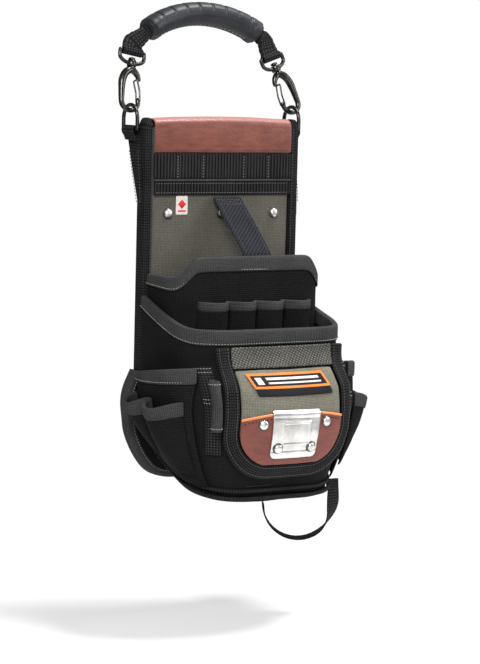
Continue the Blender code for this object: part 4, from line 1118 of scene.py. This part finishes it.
def pen_sleeve():
    def middle_at(z):
        return 1.8 * MM - (body_depth(z) + 127 * MM) / 2

    def inward(point):
        local = point - PLACE
        return Vector((PEN_X - local.x, middle_at(local.z) - local.y, 0))

    angles = round_angles(PEN_SIDES)
    rows = [[(PEN_X + PEN_RADIUS * math.cos(a), middle_at(z) + PEN_RADIUS * math.sin(a), z) for a in angles]
            for z in steps(16, 58 * MM, 105 * MM)]
    fabric("pen_cloth", rows, 1.0 * MM, RIM_GREY, inward, "pen_sleeve", cyclic=True)
    lines = []
    for row in (rows[1], rows[-2]):
        line = []
        for k in range(PEN_SIDES + 1):
            a = 2 * math.pi * k / PEN_SIDES
            normal = Vector((math.cos(a), math.sin(a), 0))
            line.append((Vector(row[k % PEN_SIDES]) + normal * 0.2 * MM, normal))
        lines.append(line)
    stitches("pen_stitch", lines, THREAD_GREY, 2.4)


# ---------------------------------------------------------------- tape strap

def tape_strap():
    """Loop of webbing that hangs below the base, twisted at its front end, with a ring at its far end."""
    start, end = mm(84.5, -84, 0), mm(24, -50, 0)
    across = (end - start).normalized()
    wide = Vector((-across.y, across.x, 0)) * 10 * MM
    span = (end - start).length
    low, bend = -62 * MM, span / 2
    path = [(0.0, -2 * MM), (0.0, -16 * MM), (0.0, low + bend)]
    path += [(bend * (1 - math.cos(a)), low + bend * (1 - math.sin(a))) for a in half_turn(10)]
    path += [(span, low + bend), (span, -26.5 * MM)]
    rows = []
    for i, p in enumerate(curve_through([start + across * along + UP * z for along, z in path], 90)):
        twist = math.radians(62) * (1 - smooth(i / 42))
        width = (wide * math.cos(twist) + across * 10 * MM * math.sin(twist)) * blend(0.55, 1, smooth(i / 22))
        rows.append([p + width * s for s in steps(9, -1, 1)])
    fabric("tape_web", rows, 1.5 * MM, WEBBING, across, "tape_strap")
    ring = [end + wide * 1.35 * math.cos(a) + UP * (-17.5 * MM + 7 * MM * math.sin(a))
            for a in round_angles(40)]
    ring_bead("tape_ring", ring, 1.4 * MM, STEEL, "strap_ring")


# ---------------------------------------------------------------- rings, snaps and handle

def snap_frame(side, sign):
    lean = Matrix.Rotation(math.radians(-sign * SNAP_LEAN[side]), 4, "Y")
    return SWING @ Matrix.Translation((sign * RING_X, 0, SNAP_BEND)) @ lean


def ring_and_strap(side, sign):
    half, bow = RING_HALF, 13 * MM
    shoulder = RING_TOP - RING_BAR - bow
    ring = [(0, -half, 0), (0, -half, shoulder)]
    ring += [(0, -half * math.cos(a), shoulder + bow * math.sin(a)) for a in steps(24, 0.12, 3.02)]
    ring += [(0, half, shoulder), (0, half, 0)]
    centre = Vector((sign * RING_X, RING_Y, RING_BAR))
    path = evenly_closed([centre + Vector(p) for p in ring], 90)
    ring_bead(f"d_ring_bow_{side}", path, WIRE, GUNMETAL, f"d_ring_{side}", body=f"d_ring_{side}")

    front = ((247, 2), (250, 1), (270, 1), (300, 4), (330.5, 8.6))
    back = ((247, 4), (260, 9), (291, 20.5), (320, 30), (330.5, 31))
    bar_x = RING_X / MM
    route = [(88.7, 0, z) for z in (247, 260, 280, 300, 318)] + [(88.8, 0, 326)]
    route += [(bar_x - 2.7 * math.cos(a), 0, 331.5 + 2.7 * math.sin(a)) for a in steps(7, 0.2, 2.9)]
    route += [(94.4, 0, 328.5), (92.2, 0, 325.2), (90.9, 0, 321)]
    rows = []
    for p in curve_through([mm(*q) for q in route], 70):
        near, far = read_table(front, p.z), read_table(back, p.z)
        rows.append([(sign * p.x, blend(near, far, t), p.z) for t in steps(9)])

    def out_of_fold(point):
        """Away from the ring's bar near the fold, and sideways lower down."""
        local = point - PLACE
        if local.z > 322 * MM:
            return Vector((local.x - sign * RING_X, local.y - RING_Y, 0))
        return Vector((sign, 0, 0))

    fabric(f"ring_web_{side}", rows, 1.3 * MM, WEBBING, out_of_fold, f"ring_strap_{side}")
    lines = [[(Vector((sign * 90.05 * MM, blend(read_table(front, z), read_table(back, z), t), z)),
               Vector((sign, 0, 0))) for z in steps(30, 262 * MM, 312 * MM)] for t in (0.12, 0.88)]
    stitches(f"ring_stitch_{side}", lines, THREAD_DARK)


def cast_hook(name, points, radii, node_name, body):
    """A cast hook: a round section of changing radius along a smooth line."""
    line = curve_through(points, 110)
    flat = (line[len(line) // 3] - line[0]).cross(line[-1] - line[0]).normalized()
    rows = []
    for i, point in enumerate(line):
        lift = direction(line, i).cross(flat).normalized()
        place = i / (len(line) - 1) * (len(radii) - 1)
        k = min(int(place), len(radii) - 2)
        radius = blend(radii[k], radii[k + 1], smooth(place - k)) * MM
        radius *= 0.8 + 0.2 * smooth(min(i, len(line) - 1 - i) / 3)
        rows.append([point + flat * a + lift * b for a, b in oval(radius, radius)])
    solid(name, rows, GUNMETAL, node_name, body=body)


def snap_hook(side, sign):
    """Hook, swivelling eye, spring gate and the webbing round the eye's bar."""
    place = snap_frame(side, sign)
    body = f"snap_{side}"

    def at(u, v, w):
        return place @ mm(-sign * u, v, w)

    foot = at(0, 0, 0)
    axis = (at(0, 0, 1) - foot).normalized()
    bend = SNAP_BEND / MM
    path = [(9.0, 4.5)]
    path += [(bend * math.cos(a), -bend * math.sin(a)) for a in steps(13, 0.0, math.pi)]
    path += [(-9.3, 7), (-9.4, 14), (-9.0, 20), (-7.2, 25.5), (-4, 29.6), (0, 31.3), (4, 29.8), (7.2, 26.2),
             (8.9, 21.5)]
    cast_hook(f"snap_cast_{side}", [at(u, 0, w) for u, w in path], SNAP_RADII, f"snap_body_{side}", body)
    post = [(1.9, 30), (1.9, 41.0), (3.3, 41.2), (3.5, 42.0), (3.0, 43.2), (1.6, 43.8), (0.1, 43.9)]
    turned(f"snap_post_{side}", foot, axis, post, GUNMETAL, body=body)
    collar = [(2.6, 30.5), (4.4, 31.4), (4.5, 33.2), (3.6, 34.0), (1.9, 34.1)]
    turned(f"snap_collar_{side}", foot, axis, collar, GUNMETAL, body=body)

    eye = [(-13, 50), (-EYE_HALF, 46)]
    eye += [(-EYE_HALF * math.cos(a), 44.5 - 7.0 * math.sin(a)) for a in half_turn(16)]
    eye += [(EYE_HALF, 46), (13, 50)]
    ring_bead(f"eye_wire_{side}", evenly_closed([at(u, 0, w) for u, w in eye], 90), WIRE, GUNMETAL,
              f"swivel_eye_{side}", body="handle")
    boss = [(2.3, 34.4), (4.1, 34.4), (4.6, 35.0), (4.6, 40.0), (4.1, 40.6), (2.3, 40.6), (2.3, 34.4)]
    turned(f"eye_boss_{side}", foot, axis, boss, GUNMETAL, body="handle")

    wide, top = 3.6, 20.1
    gate = [(0, -wide, 0), (0, wide, 0), (-0.8, wide, 9.5), (-3.6, wide, top - 1), (-4.1, wide - 1, top),
            (-4.1, 1 - wide, top), (-3.6, -wide, top - 1), (-0.8, -wide, 9.5)]
    gate = evenly_closed([at(9 + u, v, 1.5 + w) for u, v, w in gate], 80)
    ring_bead(f"gate_wire_{side}", gate, 0.85 * MM, GATE_STEEL, f"snap_gate_{side}", body=f"gate_{side}",
              sides=10)

    bar = (at(1, 0, 0) - at(-1, 0, 0)).normalized()
    loop = [(2.3, -10.4), (3.6, -10.6), (4.1, -9.9), (4.1, 9.9), (3.6, 10.6), (2.3, 10.4), (2.3, -10.4)]
    turned(f"eye_loop_{side}", at(0, 0, EYE_BAR / MM), bar, loop, WEBBING, body="handle")


def arc_point(angle, radius=GRIP_RADIUS):
    """A point on the arc that the grip follows, or on another radius about the same centre."""
    return SWING @ Vector((math.sin(angle) * radius, 0, math.cos(angle) * radius + GRIP_RISE - GRIP_RADIUS))


def handle_strap():
    """Webbing from each eye into the grip: it narrows and thickens as it folds together."""
    for side, sign in SIDES:
        place = snap_frame(side, sign)
        points = [place @ Vector((0, 0, EYE_BAR + rise * MM)) for rise in (2.6, 8)]
        points += [arc_point(sign * GRIP_SPAN * k) for k in (1.15, 1.05, 0.92)]
        line = curve_through(points, 40)
        rows, seams = [], {(face, edge): [] for face in (-1, 1) for edge in (-0.72, 0.72)}
        for i, point in enumerate(line):
            t = i / (len(line) - 1)
            out = direction(line, i).cross(SWING_ACROSS).normalized()
            wide = blend(10.4, 6.6, smooth(t * 1.15)) * MM
            thick = blend(2.3, 5.2, smooth(t * 1.3 - 0.1)) * MM
            fold = 0.25 * MM * math.sin(40 * t)
            rows.append([point + out * (a * wide + fold) + SWING_ACROSS * b * thick
                         for a, b in oval(1, 1, 24, 0.5)])
            if 3 <= i < 28:
                for (face, edge), seam in seams.items():
                    normal = SWING_ACROSS * face
                    seam.append((point + out * edge * wide + normal * thick * 0.97, normal))
        nodes = ["handle_strap"] if side == "left" else []
        solid(f"handle_web_{side}", rows, WEBBING, *nodes, body="handle")
        stitches(f"handle_stitch_{side}", list(seams.values()), THREAD_DARK, 2.8, body="handle")


def grip_radius(t, a):
    """How far the grip's surface stands out at a place along it and an angle round it (0 is the top)."""
    end = min(t, 1 - t)
    grow = 0.80 + 0.20 * smooth(end / 0.025)
    collar = smooth((0.075 - end) / 0.012)
    top = smooth((math.cos(a) + 0.05) / 0.22)
    groove = sum(math.exp(-((t - centre) / 0.0080) ** 2) for centre in steps(GRIP_GROOVES, 0.115, 0.885))
    panel = smooth((0.55 - abs(math.cos(a) + 0.30)) / 0.1) * smooth((end - 0.10) / 0.02)
    lip = math.exp(-((math.cos(a) + 0.02) / 0.06) ** 2) * smooth((end - 0.09) / 0.02)
    seam = math.exp(-((math.pi - abs(a)) / 0.09) ** 2)
    return (grow + 0.05 * collar + top * (0.065 - 0.09 * groove) * (1 - collar) - 0.02 * panel + 0.035 * lip
            - 0.035 * seam)


def grip():
    rows, seam = [], []
    for t in steps(221):
        angle = blend(-GRIP_SPAN, GRIP_SPAN, t)
        centre = arc_point(angle)
        out = (centre - arc_point(angle, 0.0)).normalized()
        row = []
        for a in round_angles(GRIP_SIDES):
            radius = grip_radius(t, a - math.pi)
            row.append(centre + out * GRIP_HALF_THICK * radius * math.cos(a - math.pi)
                       + SWING_ACROSS * GRIP_HALF_WIDE * radius * math.sin(a - math.pi))
        rows.append(row)
        if 0.06 < t < 0.94:
            seam.append((centre - out * 10.7 * MM, -out))
    solid("grip_moulding", rows, RUBBER, "hand_grip", body="handle")
    stitches("grip_stitch", [seam], THREAD_GREY, 4.4, share=0.6, radius=0.5, body="handle")


# ---------------------------------------------------------------- stage

def area_light(name, place, size, watts):
    lamp = bpy.data.lights.new(name, "AREA")
    lamp.shape = "DISK"
    lamp.size = size
    lamp.energy = watts
    obj = bpy.data.objects.new(name, lamp)
    bpy.context.scene.collection.objects.link(obj)
    obj.location = place
    obj.rotation_euler = (Vector(LIGHTS_AIM) - Vector(place)).to_track_quat("-Z", "Y").to_euler()


def stage():
    """White surroundings, a pale floor disc that takes the shadow, and the lights."""
    world = bpy.data.worlds.new("studio")
    world.use_nodes = True
    background = world.node_tree.nodes["Background"]
    background.inputs["Color"].default_value = (1, 1, 1, 1)
    sight = node(world.node_tree, "ShaderNodeLightPath").outputs["Is Camera Ray"]
    world.node_tree.links.new(scaled(world.node_tree, sight, 0.65, 0.35), background.inputs["Strength"])
    bpy.context.scene.world = world
    bpy.context.scene.view_settings.view_transform = "Standard"

    rim = [(FLOOR_RADIUS * math.cos(a), FLOOR_RADIUS * math.sin(a) - 0.1, FLOOR_HEIGHT)
           for a in round_angles(FLOOR_SIDES)]
    mesh = bpy.data.meshes.new("floor")
    mesh.from_pydata(rim, [], [tuple(range(FLOOR_SIDES))])
    floor = bpy.data.objects.new("floor", mesh)
    bpy.context.scene.collection.objects.link(floor)
    made, tree, shader = new_shader("pale_floor", 0.6)
    speck = noise_of(tree, 3.0, 2.0)
    tree.links.new(ramp_between(tree, speck, 0.3, 0.7, (0.80, 0.80, 0.80), (0.82, 0.82, 0.82)),
                   shader.inputs["Base Color"])
    mesh.materials.append(made)
    for light in LIGHTS:
        area_light(*light)


def camera():
    lens = bpy.data.cameras.new("camera")
    lens.sensor_width = 36
    lens.lens = LENS
    lens.shift_x, lens.shift_y = LENS_SHIFT
    lens.clip_end = 40
    obj = bpy.data.objects.new("camera", lens)
    bpy.context.scene.collection.objects.link(obj)
    azimuth, height, roll = (math.radians(v) for v in CAMERA_TURN)
    right = Vector((math.cos(azimuth), math.sin(azimuth), 0))
    ahead = Vector((-math.sin(azimuth) * math.cos(height), math.cos(azimuth) * math.cos(height),
                    -math.sin(height)))
    side = right * math.cos(roll) + right.cross(ahead) * math.sin(roll)
    turn = Matrix((side, side.cross(ahead), -ahead)).transposed().to_4x4()
    obj.matrix_world = Matrix.Translation(Vector(CAMERA_PLACE) + PLACE) @ turn
    bpy.context.scene.camera = obj


def main():
    for build in (panel, foot_binding, cap, panel_trim, tag_and_rivets, belt_loop, hip_pad, centre_strap,
                  body, divider, sleeves):
        build()
    for side, sign in SIDES:
        side_pockets(side, sign)
        ring_and_strap(side, sign)
        snap_hook(side, sign)
    for build in (corner_pockets, shield, label, clip_plate, pen_sleeve, tape_strap, handle_strap, grip,
                  stage, camera):
        build()


main()
